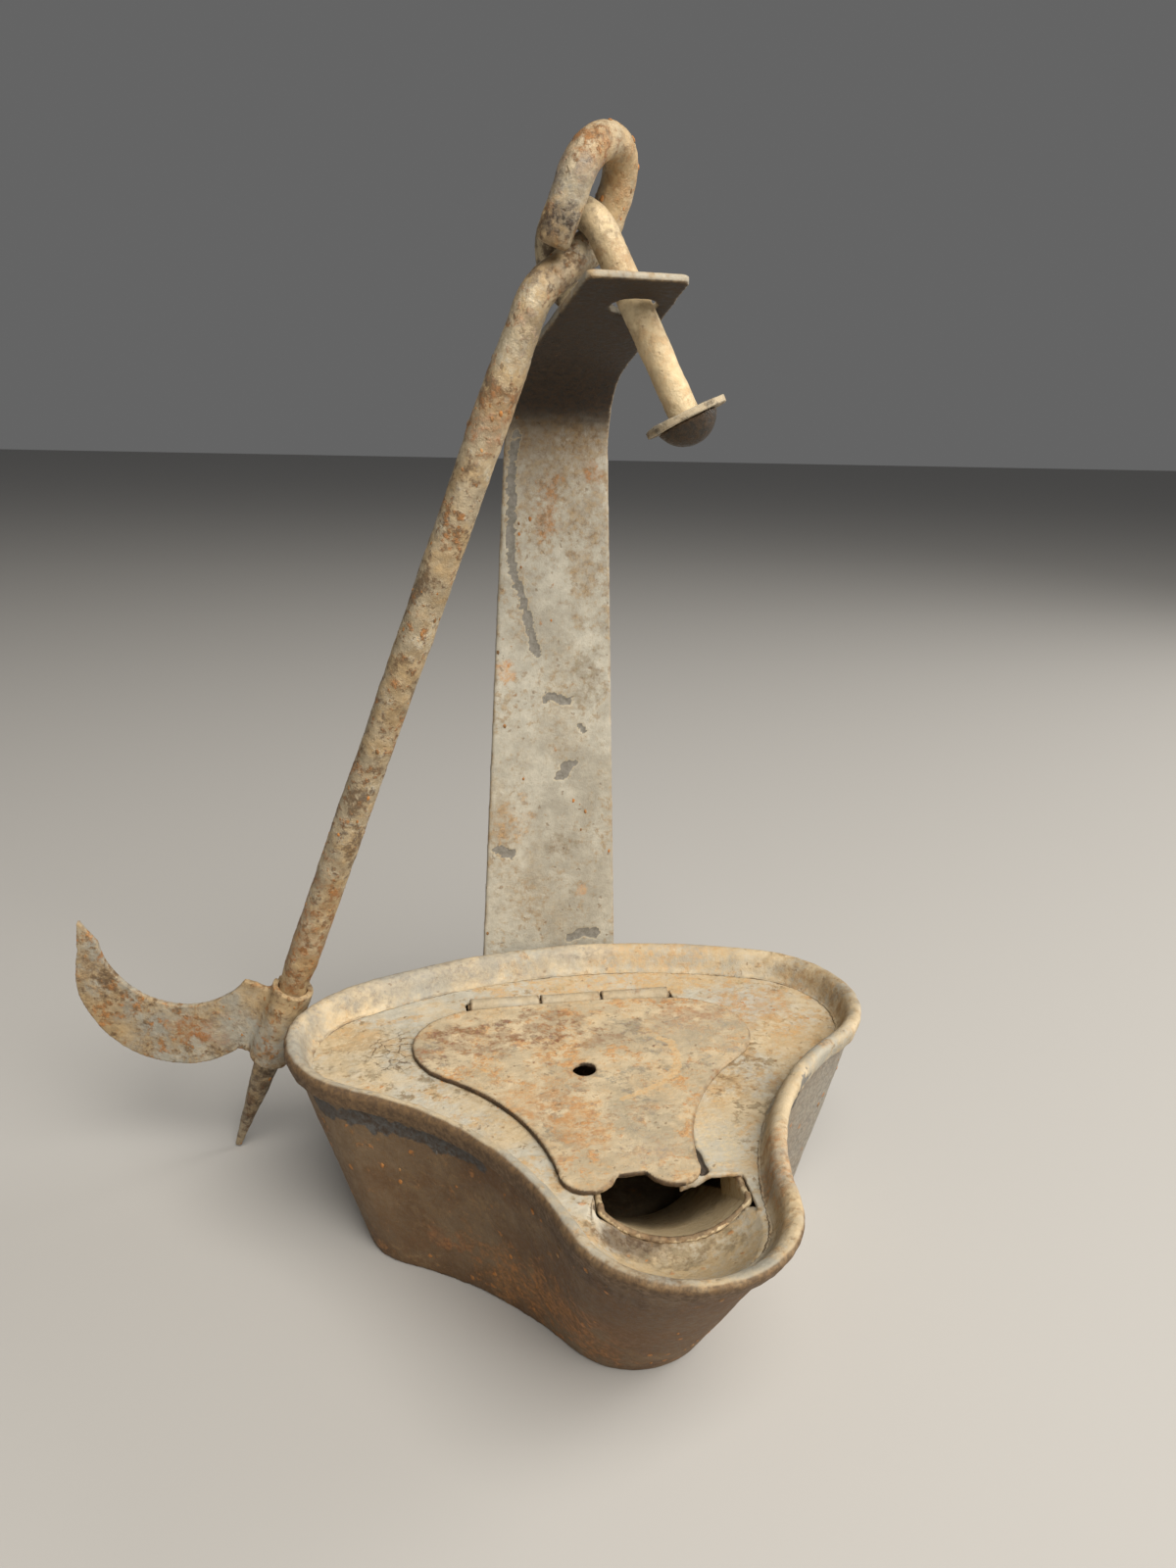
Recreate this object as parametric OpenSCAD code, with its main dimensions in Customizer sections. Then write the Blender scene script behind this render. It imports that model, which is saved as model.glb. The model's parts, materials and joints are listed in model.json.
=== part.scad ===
// Betty lamp: a pear-shaped sheet-iron oil reservoir with a hinged lid, a wick trough in its nose,
// a back strap, and a hanger with a hook and a spike that is linked to the strap by a swivel bolt.
// The floor's underside is at Z = 0, the nose points along -Y and the strap stands at the back.

/* [Reservoir] */
// Height of the rim above the floor's underside
rim_h = 35.4; // [32:0.2:40]
// Thickness of the wall sheet
wall_t = 0.9; // [0.7:0.1:1.3]
// Thickness of the floor sheet
floor_t = 0.9; // [0.7:0.1:1.4]
// Thickness of the deck sheet
deck_t = 0.8; // [0.6:0.1:1.1]
// Depth of the deck's top below the rim
deck_drop = 4.6; // [4:0.1:5.6]
// Thickness of the rim binding
binding_t = 0.8; // [0.6:0.1:1]
// Height of the binding's outer leg
binding_lap = 3.4; // [2.8:0.1:4.2]
// Fillet of the binding's foot on the deck
binding_foot_r = 0.8; // [0.5:0.1:0.9]
// Gap between sheets that are seated on each other
seat_gap = 0.1; // [0.05:0.01:0.15]

/* [Rim outline] */
// Middle of the back edge
rim_back_y = 41.7; // [39:0.1:44]
// Radius of the back edge
rim_back_r = 90; // [80:1:100]
// Half angle of the back edge
rim_back_angle = 26; // [24:0.5:28]
// Radius of the back corners
rim_corner_r = 19.2; // [17:0.1:21]
// Centre of the nose
rim_nose_y = -36.9; // [-38:0.1:-36]
// Radius of the nose
rim_nose_r = 15.8; // [15:0.1:16.4]
// Radius of the hollow flanks
rim_flank_r = 54; // [48:0.5:60]

/* [Floor outline] */
// Middle of the back edge
floor_back_y = 27; // [25:0.1:29]
// Radius of the back edge
floor_back_r = 76; // [70:1:84]
// Half angle of the back edge
floor_back_angle = 24.5; // [23:0.5:26]
// Radius of the back corners
floor_corner_r = 11; // [9:0.1:13]
// Centre of the nose
floor_nose_y = -17; // [-19:0.1:-15]
// Radius of the nose
floor_nose_r = 12; // [11.5:0.1:13]
// Radius of the hollow flanks
floor_flank_r = 62; // [56:0.5:68]

/* [Lid] */
// Thickness of the lid sheet
lid_t = 0.8; // [0.7:0.1:1]
// Lap of the lid over the edge of its mouth
lid_lap = 2.4; // [2:0.1:3]
// Gap between the lid and the deck that it lies on
lid_seat = 0.1; // [0.05:0.01:0.2]
// Turn of the lid and its hinge from square
lid_skew = -4; // [-5:0.5:-2]
// Radius of the lid's back edge
lid_back_r = 150; // [130:5:180]
// Half angle of the lid's back edge
lid_back_angle = 7.3; // [7:0.1:7.6]
// Radius of the lid's back corners
lid_corner_r = 12; // [11:0.1:13]
// Centre of the lid's neck, measured from the hinge
lid_neck_y = -49.7; // [-50.5:0.1:-49]
// Half width of the lid's neck
lid_neck_r = 10.4; // [10:0.1:10.8]
// Radius of the lid's hollow flanks
lid_flank_r = 38.4; // [35:0.2:42]
// Front edge of the lid between its lobes, measured from the hinge
lid_front_y = -53; // [-53.6:0.1:-52]
// Radius of the two front lobes
lobe_r = 4.1; // [3.6:0.1:4.4]
// Distance of each lobe from the lid's middle line
lobe_x = 6.2; // [5.8:0.1:6.4]
// Reach of the lobes past the front edge
lobe_reach = 3.2; // [2:0.1:3.4]
// Diameter of the small hole in the lid
lid_hole_d = 3.8; // [3:0.1:6]
// Sideways place of the hole
lid_hole_x = -1.8; // [-6:0.1:6]
// Distance of the hole from the hinge
lid_hole_y = -25.1; // [-32:0.1:-18]

/* [Hinge] */
// Sideways place of the hinge's middle
hinge_x = 0.6; // [0:0.1:1.4]
// Place of the hinge's axis from front to back
hinge_y = 27.8; // [27.4:0.1:28.4]
// Length of the hinge
hinge_len = 37; // [34:0.2:42]
// Length of the middle knuckle
knuckle_len = 11; // [8:0.2:14]
// Outer diameter of the knuckles
knuckle_d = 2.6; // [2.4:0.1:3.2]
// Gap between neighbouring knuckles
knuckle_gap = 0.35; // [0.3:0.05:0.6]
// Diameter of the hinge pin
hinge_pin_d = 1.2; // [1:0.1:1.4]
// Running clearance round the hinge pin
hinge_pin_clear = 0.05; // [0.03:0.01:0.1]
// Reach of the pin past each end of the hinge
hinge_pin_reach = 0.4; // [0:0.1:1]
// Thickness of the hinge leaves
leaf_t = 0.7; // [0.5:0.1:0.8]
// Reach of each leaf from the hinge's axis
leaf_len = 6; // [5:0.1:6.4]

/* [Nose pan and wick trough] */
// Centre of the dished pan in the nose
pan_y = -35.4; // [-35.8:0.1:-35]
// Radius of the pan at the deck
pan_r = 11.8; // [11.4:0.1:12]
// Depth of the pan
pan_depth = 5; // [4.8:0.1:5.4]
// Sideways place of the trough
trough_x = 1.1; // [0.4:0.1:1.4]
// Place of the trough's lip from front to back
trough_lip_y = -34; // [-34.4:0.1:-33.4]
// Gap between the trough's lip and the pan under it
trough_lip_gap = 0.25; // [0.1:0.05:0.4]
// Width of the trough
trough_w = 21.6; // [20:0.2:21.8]
// Depth of the trough's curve
trough_depth = 4.9; // [4.6:0.1:5]
// Length of the trough
trough_len = 36; // [28:0.5:40]
// Length of the trough's side walls, from its lip
trough_side_len = 14; // [10:0.5:16]
// Height of the trough's side walls before they are cut off at the deck
trough_side_h = 12; // [10:0.5:13]
// Length of the part of the side walls that stands above the deck
trough_ear_len = 3.4; // [2.6:0.1:3.6]
// Height of that part above the deck
trough_ear_h = 0.4; // [0.2:0.1:0.6]
// Depth of the side walls' edges below the deck's top behind that part
trough_sink = 0.2; // [0.2:0.05:0.5]
// Thickness of the trough sheet
trough_t = 0.9; // [0.7:0.1:1]
// Fall of the trough towards the reservoir
trough_slope = 34; // [33:0.5:36]
// Turn of the trough from square
trough_skew = -6; // [-7:0.5:-3]
// Length of the trough's cut in the deck, from its lip
trough_cut_len = 8; // [7:0.1:12]
// Gap between the trough and the deck on each side
trough_clear = 0.15; // [0.1:0.05:0.3]

/* [Back strap] */
// Thickness of the strap
strap_t = 1.2; // [1:0.1:1.6]
// Width of the strap at the rim
strap_w_rim = 26.2; // [24:0.2:28]
// Width of the strap at its bend
strap_w_bend = 18.5; // [17.4:0.1:18.8]
// Width of the flange at its front edge
flange_w_front = 14; // [13.4:0.1:14.2]
// Height at which the strap starts to bend forward
strap_bend_z = 127; // [120:1:134]
// Inner radius of the bend
strap_bend_r = 15; // [13:0.5:17]
// Rise of the flange towards its front edge
flange_rise = 14; // [12:0.5:16]
// Length of the flange past the bend
flange_len = 36.3; // [34:0.1:38]
// Corner radius at the flange's front edge
flange_corner_r = 1.2; // [1:0.1:2]
// Distance of the bolt hole from the flange's front edge
flange_hole_back = 9.7; // [9.2:0.1:10.4]
// Sideways place of the bolt hole
flange_hole_x = 2.05; // [1.85:0.05:2.25]
// Diameter of the loose bolt hole
flange_hole_d = 6.4; // [6.3:0.1:6.8]
// Lower end of the strap's foot on the wall
strap_foot_z = 6; // [4:0.5:8]
// Height at which the strap leaves the wall
strap_leave_z = 21; // [20:0.5:24]
// Diameter of the rivets
rivet_d = 3; // [2.4:0.1:3.4]
// Diameter of the rivet heads
rivet_head_d = 5.6; // [5:0.1:6.4]
// Height of the rivet heads
rivet_head_h = 1.3; // [1:0.1:1.8]
// Clearance round each rivet in its holes
rivet_clear = 0.05; // [0.02:0.01:0.1]
// Height of the lower rivet
rivet_low_z = 10; // [9.5:0.1:11]
// Distance between the rivets in height
rivet_pitch = 7.5; // [6.8:0.1:8]

/* [Swivel bolt] */
// Diameter of the bolt's wire
bolt_d = 4.4; // [4:0.1:4.6]
// Lean of the bolt from upright
bolt_lean = 27.6; // [27:0.1:28.2]
// Compass direction of the lean
bolt_lean_turn = 156.2; // [155.4:0.1:157]
// Sideways place of the bolt in its hole
bolt_hole_dx = 0.4; // [0.2:0.05:0.5]
// Length of the bolt from the flange to its washer
bolt_drop = 15.5; // [13.5:0.5:18]
// Height of the eye's centre above the flange
eye_rise = 10.1; // [10:0.1:10.3]
// Radius of the eye at the middle of its wire
eye_r = 5.8; // [5.75:0.05:5.95]
// Turn of the eye about the bolt
eye_turn = -38.4; // [-39.4:0.1:-37.4]
// Part of a full turn that the eye is closed
eye_angle = 212; // [205:1:216]
// Diameter of the washer
washer_d = 12; // [10:0.1:13]
// Thickness of the washer
washer_t = 1; // [0.8:0.1:1.6]
// Running clearance of the washer on the bolt
washer_clear = 0.08; // [0.03:0.01:0.1]
// Gap between the washer and the bolt's head
washer_gap = 0.05; // [0.02:0.01:0.1]
// Diameter of the peened head
head_d = 9; // [7.5:0.1:9.4]
// Height of the peened head
head_h = 3.4; // [2.8:0.1:4]

/* [Hanger] */
// Diameter of the hanger's rod
rod_d = 5; // [4.6:0.1:5.2]
// Place of the spike's tip from side to side
spike_x = -60.9; // [-64:0.1:-60]
// Place of the spike's tip from front to back
spike_y = 40.4; // [39:0.1:42]
// Height of the spike's tip above the table
spike_z = 0.4; // [0.3:0.1:1]
// Length of the spike
spike_len = 23; // [19:0.5:23]
// Diameter of the spike's tip
spike_tip_d = 1.2; // [0.8:0.1:1.6]
// Diameter of the spike at the rod
spike_root_d = 5; // [4.4:0.1:5]
// Distance from the eye to the loop's shoulder, side to side
shoulder_dx = -8; // [-8.2:0.1:-7.9]
// Distance from the eye to the loop's shoulder, front to back
shoulder_dy = -4; // [-4.1:0.1:-3.9]
// Distance from the eye to the loop's shoulder in height
shoulder_dz = -7.7; // [-7.9:0.1:-7.5]
// Turn of the loop about the rod
loop_turn = 79.4; // [78.6:0.1:80.2]
// Distance between the loop's two strands
loop_w = 10.9; // [10.8:0.1:11.1]
// Height of the loop above its shoulder
loop_h = 23.2; // [23:0.1:24.4]
// Radius of the loop's shoulder bends
shoulder_r = 6; // [5.8:0.1:6.2]
// Angle of the loop's shoulder bends
shoulder_angle = 50; // [48:0.5:52]
// Height of the strand's cut end above the shoulder
loop_end_h = 8.7; // [8.7:0.1:10]
// Height of the swelling where a straight run of bar meets a bend
bar_swell_h = 0.05; // [0.03:0.01:0.1]

/* [Hook] */
// Thickness of the hook sheet
hook_t = 1.1; // [0.9:0.1:1.2]
// Turn of the hook about the rod
hook_turn = -158.9; // [-163:0.5:-154]
// Height of the collar's lower edge along the rod
collar_low = 22.4; // [22:0.1:23]
// Length of the collar
collar_len = 16.4; // [15:0.1:17]
// Drop of the blade's upper edge below the collar's
blade_drop = 1.6; // [1:0.1:2.4]
// Clearance between the collar and the rod
collar_clear = 0.05; // [0.02:0.01:0.1]
// Width of the gap where the collar's sheet ends
collar_slit = 0.7; // [0.4:0.1:1.2]
// Distance of the crescent's centre from the rod
crescent_x = 19.7; // [19:0.1:20.4]
// Height of the crescent's centre along the rod
crescent_z = 31; // [30.4:0.1:31.6]
// Outer radius of the crescent
crescent_r = 16.5; // [16.2:0.1:16.9]
// Inner radius of the crescent
hollow_r = 13.6; // [13:0.1:14]
// Distance of the hollow's centre from the crescent's, outwards
hollow_dx = 1.8; // [1.5:0.1:2.1]
// Distance of the hollow's centre from the crescent's, upwards
hollow_dz = 9.8; // [9.4:0.1:10.2]
// Distance of the hook's point from the crescent's centre, outwards
point_dx = 17.4; // [17:0.1:17.8]
// Distance of the hook's point from the crescent's centre, upwards
point_dz = 7.6; // [7.2:0.1:8]
// Angle on the crescent's outer edge where its point starts
point_outer_angle = 8; // [6:0.5:9]
// Angle on the crescent's inner edge where its point starts
point_inner_angle = -24; // [-26:0.5:-22]
// Turn of the collar's gap from the blade
collar_slit_turn = -25; // [-40:1:-20]

/* [Hidden] */
$fn = 64;

// Length that reaches past any sheet it cuts
past = 10;
// Angle by which the hook's point laps over its crescent
point_lap = 10;
// Length that reaches past the whole lamp
past_all = 400;

// Segments of each arc of a pear outline: back, corner, flank, nose
arc_steps = [8, 10, 14, 8];
// Segments of the binding's bead and of its foot
bead_steps = 6;
foot_steps = 3;

// Pear outlines: back edge, its radius and half angle, corner, nose centre, nose radius, flank
rim_outline = [rim_back_y, rim_back_r, rim_back_angle, rim_corner_r, rim_nose_y, rim_nose_r, rim_flank_r];
floor_outline = [floor_back_y, floor_back_r, floor_back_angle, floor_corner_r, floor_nose_y,
    floor_nose_r, floor_flank_r];

deck_z = rim_h - deck_drop;
lid_z = deck_z + lid_seat;
knuckle_r = knuckle_d / 2;
// The knuckles' undersides are level with the undersides of the leaves under the deck
hinge_z = deck_z - deck_t - leaf_t + knuckle_r;
// Room between the hinge's axis and the sheets on both sides of it
hinge_room = knuckle_r + knuckle_gap;
hinge_pin_len = hinge_len + 2 * hinge_pin_reach;
hinge_cut_len = hinge_pin_len + 2 * knuckle_gap;
lid_outline = [-hinge_room, lid_back_r, lid_back_angle, lid_corner_r, lid_neck_y, lid_neck_r, lid_flank_r];

pan_sphere_r = (pan_r * pan_r + pan_depth * pan_depth) / (2 * pan_depth);
trough_r = (trough_w * trough_w / 4 + trough_depth * trough_depth) / (2 * trough_depth);
// Lowest point of the trough's inner face at its lip
trough_lip_z = deck_z - pan_depth + trough_lip_gap + trough_t / cos(trough_slope)
    + pan_sphere_r - sqrt(pow(pan_sphere_r, 2) - pow(trough_lip_y - pan_y, 2));

wall_lean = atan((rim_back_y - floor_back_y) / rim_h);
strap_y = rim_back_y + binding_t + 2 * seat_gap;
// The strap is upright from just under the binding
strap_under = 1;
strap_under_z = rim_h - binding_lap - strap_under;
bend_turn = 90 - flange_rise;
bend_y = strap_y - strap_bend_r;
// Rear end of the flange's underside
flange_y = bend_y + strap_bend_r * sin(flange_rise);
flange_z = strap_bend_z + strap_bend_r * cos(flange_rise);
hole_run = flange_len - flange_hole_back;
hole_pos = [flange_hole_x, flange_y - hole_run * cos(flange_rise), flange_z + hole_run * sin(flange_rise)];

rod_r = rod_d / 2;
bolt_pos = hole_pos + [bolt_hole_dx, 0, 0];
eye_centre = bolt_pos + turned([eye_r * cos(eye_turn), eye_r * sin(eye_turn), eye_rise], bolt_lean,
    bolt_lean_turn);
spike_tip = [spike_x, spike_y, spike_z];
shoulder_pos = eye_centre + [shoulder_dx, shoulder_dy, shoulder_dz];
rod_run = shoulder_pos - spike_tip;
rod_len = norm(rod_run);
rod_lean = acos(rod_run.z / rod_len);
rod_lean_turn = atan2(rod_run.y, rod_run.x);

// A vector leaned by an angle from upright and then turned about Z
function turned(v, lean, turn) = let(
    x = v.x * cos(lean) + v.z * sin(lean),
    z = v.z * cos(lean) - v.x * sin(lean)
) [x * cos(turn) - v.y * sin(turn), x * sin(turn) + v.y * cos(turn), z];

function polar(radius, angle) = radius * [cos(angle), sin(angle)];

function arc(centre, radius, from, to, steps) =
    [for (i = [0 : steps - 1]) centre + polar(radius, from + (to - from) * i / steps)];

function angle_to(from, to) = atan2(to.y - from.y, to.x - from.x);

// Centre of the circle of radius r that touches two circles from outside, on their +X side
function touching_centre(c1, r1, c2, r2, r) = let(
    span = norm(c2 - c1),
    along = (c2 - c1) / span,
    run = (pow(r1 + r, 2) - pow(r2 + r, 2) + span * span) / (2 * span),
    side = sqrt(pow(r1 + r, 2) - run * run)
) c1 + run * along + side * [-along.y, along.x];

// Right half of a pear outline grown by d, from the middle of the back to the tip of the nose
function half_pear(o, d) = let(
    back_c = [0, o[0] - o[1]],
    corner_c = back_c + (o[1] - o[3]) * [sin(o[2]), cos(o[2])],
    nose_c = [0, o[4]],
    flank_c = touching_centre(corner_c, o[3], nose_c, o[5], o[6])
) concat(
    arc(back_c, o[1] + d, 90, 90 - o[2], arc_steps[0]),
    arc(corner_c, o[3] + d, 90 - o[2], angle_to(corner_c, flank_c), arc_steps[1]),
    arc(flank_c, o[6] - d, angle_to(flank_c, corner_c), angle_to(flank_c, nose_c), arc_steps[2]),
    arc(nose_c, o[5] + d, angle_to(nose_c, flank_c), -90, arc_steps[3]),
    [[0, o[4] - o[5] - d]]
);

// Whole outline, clockwise seen from above
function pear(o, d = 0) = let(
    right = half_pear(o, d),
    last = len(right) - 1
) concat(right, [for (i = [last - 1 : -1 : 1]) [-right[i].x, right[i].y]]);

// Outline of the tapering wall's outer face at height z, grown by d
function wall_at(z, d = 0) = let(
    low = pear(floor_outline, d),
    high = pear(rim_outline, d)
) [for (i = [0 : len(low) - 1]) low[i] + (high[i] - low[i]) * z / rim_h];

function at_height(points, z) = [for (p = points) [p.x, p.y, z]];

// Closed skin through loops of equal length, the last loop joined to the first
module loop_skin(loops) {
    count = len(loops[0]);
    rows = len(loops);
    points = [for (loop = loops) each loop];
    faces = [for (k = [0 : rows - 1]) for (i = [0 : count - 1]) let(
        a = k * count + i,
        b = k * count + (i + 1) % count,
        c = ((k + 1) % rows) * count + (i + 1) % count,
        d = ((k + 1) % rows) * count + i
    ) each [[a, b, c], [a, c, d]]];
    polyhedron(points, faces);
}

module in_lid_frame() {
    translate([hinge_x, hinge_y, 0])
        rotate([0, 0, lid_skew])
            children();
}

module in_trough_frame() {
    translate([trough_x, trough_lip_y, 0])
        rotate([0, 0, trough_skew])
            children();
}

module in_bolt_frame() {
    translate(bolt_pos)
        rotate([0, bolt_lean, bolt_lean_turn])
            children();
}

module in_rod_frame() {
    translate(spike_tip)
        rotate([0, rod_lean, rod_lean_turn])
            children();
}

// Rivet places on the wall's outer face, with Z pointing out of the wall
module at_rivets() {
    for (z = [rivet_low_z, rivet_low_z + rivet_pitch])
        translate([0, floor_back_y + z * tan(wall_lean), z])
            rotate([-90 - wall_lean, 0, 0])
                children();
}

// Low dome of base diameter d and height h on Z = 0
module dome(d, h) {
    ball_r = (d * d / 4 + h * h) / (2 * h);
    rotate_extrude()
        intersection() {
            translate([0, h - ball_r])
                circle(ball_r);
            square([d, h]);
        }
}

// Bend of a round bar in the XZ plane, about a centre at the origin
module bar_bend(radius, bar_d, from, to) {
    rotate([90, 0, 0])
        rotate([0, 0, from])
            rotate_extrude(angle = to - from)
                translate([radius, 0])
                    circle(d = bar_d);
}

// Slight swelling where a straight run of a forged bar meets a bend
module bar_swell(bar_d) {
    sphere(d = bar_d + 2 * bar_swell_h);
}

// Straight run of a round bar along Z, short of the bends at the ends named
module bar_run(bar_d, from, to, bend_below = true, bend_above = true) {
    low = from + (bend_below ? bar_swell_h : 0);
    high = to - (bend_above ? bar_swell_h : 0);
    translate([0, 0, low])
        cylinder(d = bar_d, h = high - low);
    if (bend_below)
        translate([0, 0, from])
            bar_swell(bar_d);
    if (bend_above)
        translate([0, 0, to])
            bar_swell(bar_d);
}

module reservoir_wall() {
    top = rim_h - binding_t - seat_gap;
    color("#8a8276")
        difference() {
            loop_skin([
                at_height(wall_at(0), 0),
                at_height(wall_at(top), top),
                at_height(wall_at(top, -wall_t), top),
                at_height(wall_at(0, -wall_t), 0)
            ]);
            at_rivets()
                cylinder(d = rivet_d + 2 * rivet_clear, h = 2 * past, center = true);
        }
}

module reservoir_floor() {
    color("#6f685e")
        linear_extrude(floor_t)
            polygon(wall_at(0, -wall_t - seat_gap));
}

// Mouth under the lid, with room for the hinge behind it
module mouth_cut() {
    in_lid_frame() {
        polygon(pear(lid_outline, -lid_lap));
        translate([-hinge_cut_len / 2, -leaf_len - knuckle_gap])
            square([hinge_cut_len, leaf_len + knuckle_gap + hinge_room]);
    }
}

// Way for the trough, from its lip to the mouth
module trough_cut() {
    in_trough_frame()
        translate([-trough_w / 2 - trough_clear, -trough_clear])
            square([trough_w + 2 * trough_clear, trough_cut_len]);
}

module deck() {
    low_z = deck_z - deck_t;
    pan_centre = [0, pan_y, deck_z - pan_depth + pan_sphere_r];
    color("#8d7f6b")
        difference() {
            union() {
                difference() {
                    translate([0, 0, low_z])
                        linear_extrude(deck_t)
                            polygon(wall_at(low_z, -wall_t - seat_gap));
                    translate(pan_centre)
                        sphere(pan_sphere_r);
                }
                intersection() {
                    translate(pan_centre)
                        difference() {
                            sphere(pan_sphere_r + deck_t);
                            sphere(pan_sphere_r);
                        }
                    translate([0, pan_y, deck_z - pan_depth - deck_t])
                        cylinder(r = pan_r, h = pan_depth + deck_t);
                }
            }
            translate([0, 0, deck_z - pan_depth - past])
                linear_extrude(pan_depth + 2 * past) {
                    mouth_cut();
                    trough_cut();
                }
        }
}

module rim_binding() {
    foot_z = deck_z + seat_gap;
    fold_z = rim_h - binding_t;
    inner = -wall_t - seat_gap;
    inside = inner - binding_t;
    outer = seat_gap;
    outside = outer + binding_t;
    bead_r = (outside - inside) / 2;
    bead = [(outside + inside) / 2, rim_h - bead_r];
    foot = [inside - binding_foot_r, foot_z + binding_foot_r];
    // Section of the binding: distance from the wall's outer face, height
    section = concat(
        [[inner, foot_z], [inner, fold_z], [outer, fold_z]],
        [[outer, rim_h - binding_lap], [outside, rim_h - binding_lap]],
        arc(bead, bead_r, 0, 180, bead_steps),
        [[inside, bead.y]],
        arc(foot, binding_foot_r, 0, -90, foot_steps),
        [[foot.x, foot_z]]
    );
    color("#867b6c")
        loop_skin([for (p = section) at_height(wall_at(p.y, p.x), p.y)]);
}

// Room for the trough under the deck and in its cut
module trough_room() {
    under_z = deck_z - deck_t - seat_gap;
    cut_end = trough_cut_len - 2 * trough_clear;
    // Reach from the lip and height of each step of the room
    steps = [
        [trough_ear_len, deck_z + trough_ear_h],
        [cut_end, deck_z - trough_sink],
        [trough_len + past, under_z]
    ];
    in_trough_frame()
        for (step = steps)
            translate([-trough_w, -past, 0])
                cube([2 * trough_w, past + step[0], step[1]]);
}

// The trough's run, sloping down from its lip, of a section given as width and height
module trough_run(length) {
    in_trough_frame()
        translate([0, 0, trough_lip_z])
            rotate([90 + trough_slope, 0, 180])
                linear_extrude(length)
                    children();
}

module wick_trough() {
    side_low = trough_depth - trough_t;
    color("#7a6c5a")
        intersection() {
            union() {
                trough_run(trough_len)
                    intersection() {
                        translate([0, trough_r])
                            difference() {
                                circle(trough_r + trough_t);
                                circle(trough_r);
                            }
                        translate([-trough_w / 2, -trough_t])
                            square([trough_w, trough_depth + trough_t]);
                    }
                for (side = [-1, 1])
                    trough_run(trough_side_len)
                        translate([side * (trough_w - trough_t) / 2 - trough_t / 2, side_low])
                            square([trough_t, trough_side_h - side_low]);
            }
            trough_room();
        }
}

module lid() {
    color("#8f7458")
        in_lid_frame()
            translate([0, 0, lid_z])
                difference() {
                    union() {
                        difference() {
                            linear_extrude(lid_t)
                                polygon(pear(lid_outline));
                            translate([-lid_neck_r - past, lid_front_y - 2 * past, -past])
                                cube([2 * (lid_neck_r + past), 2 * past, 2 * past]);
                        }
                        for (side = [-1, 1])
                            translate([side * lobe_x, lid_front_y - lobe_reach + lobe_r, 0])
                                cylinder(r = lobe_r, h = lid_t);
                    }
                    translate([lid_hole_x, lid_hole_y, -past])
                        cylinder(d = lid_hole_d, h = 2 * past);
                }
}

// Section of a hinge leaf that reaches along +X from its knuckle, with its top at height top
module leaf_section(top) {
    difference() {
        union() {
            circle(knuckle_r);
            translate([0, top - leaf_t])
                square([leaf_len, leaf_t]);
        }
        circle(d = hinge_pin_d + 2 * hinge_pin_clear);
    }
}

// Hinge section run along the hinge's axis from x0 to x1
module along_hinge(x0, x1) {
    in_lid_frame()
        translate([x0, 0, hinge_z])
            rotate([90, 0, 90])
                linear_extrude(x1 - x0)
                    children();
}

module lid_hinge_leaf() {
    color("#7c7264")
        along_hinge(-knuckle_len / 2, knuckle_len / 2)
            mirror([1, 0])
                leaf_section(lid_z - hinge_z);
}

module deck_hinge_leaf() {
    color("#7c7264")
        for (side = [-1, 1])
            let(near = side * (knuckle_len / 2 + knuckle_gap), far = side * hinge_len / 2)
                along_hinge(min(near, far), max(near, far))
                    leaf_section(deck_z - deck_t - hinge_z);
}

module hinge_pin() {
    color("#5d564d")
        along_hinge(-hinge_pin_len / 2, hinge_pin_len / 2)
            circle(d = hinge_pin_d);
}

// Half width of the strap's upright at height z
function strap_half_w(z) =
    (strap_w_rim + (strap_w_bend - strap_w_rim) * (z - rim_h) / (strap_bend_z - rim_h)) / 2;

module strap_taper() {
    top = flange_z + flange_len;
    rotate([90, 0, 0])
        linear_extrude(past_all, center = true)
            polygon([
                [-strap_half_w(0), 0],
                [strap_half_w(0), 0],
                [strap_half_w(top), top],
                [-strap_half_w(top), top]
            ]);
}

// Outline of the flange seen from above, wide enough behind to leave the upright alone
module flange_plan() {
    front_y = flange_y - flange_len * cos(flange_rise);
    front_w = flange_w_front / 2;
    corner_x = front_w - flange_corner_r;
    rear_w = strap_half_w(flange_z);
    slope = (rear_w - front_w) / (flange_y - front_y);
    back_y = strap_y + past;
    back_w = rear_w + slope * (back_y - flange_y) + strap_w_rim / 2;
    polygon([
        [-corner_x, front_y],
        [corner_x, front_y],
        [front_w, front_y + flange_corner_r],
        [rear_w, flange_y],
        [back_w, flange_y],
        [back_w, back_y],
        [-back_w, back_y],
        [-back_w, flange_y],
        [-rear_w, flange_y],
        [-front_w, front_y + flange_corner_r]
    ]);
    for (side = [-1, 1])
        translate([side * corner_x, front_y + flange_corner_r])
            circle(flange_corner_r);
}

// Side view of the strap's foot and upright, as Y and Z
module strap_side() {
    leave_y = floor_back_y + strap_leave_z * tan(wall_lean) + seat_gap;
    foot_y = floor_back_y + strap_foot_z * tan(wall_lean) + seat_gap;
    front = [
        [foot_y, strap_foot_z],
        [leave_y, strap_leave_z],
        [strap_y, strap_under_z],
        [strap_y, strap_bend_z]
    ];
    polygon(concat(front, [for (i = [len(front) - 1 : -1 : 0]) front[i] + [strap_t, 0]]));
}

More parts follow.
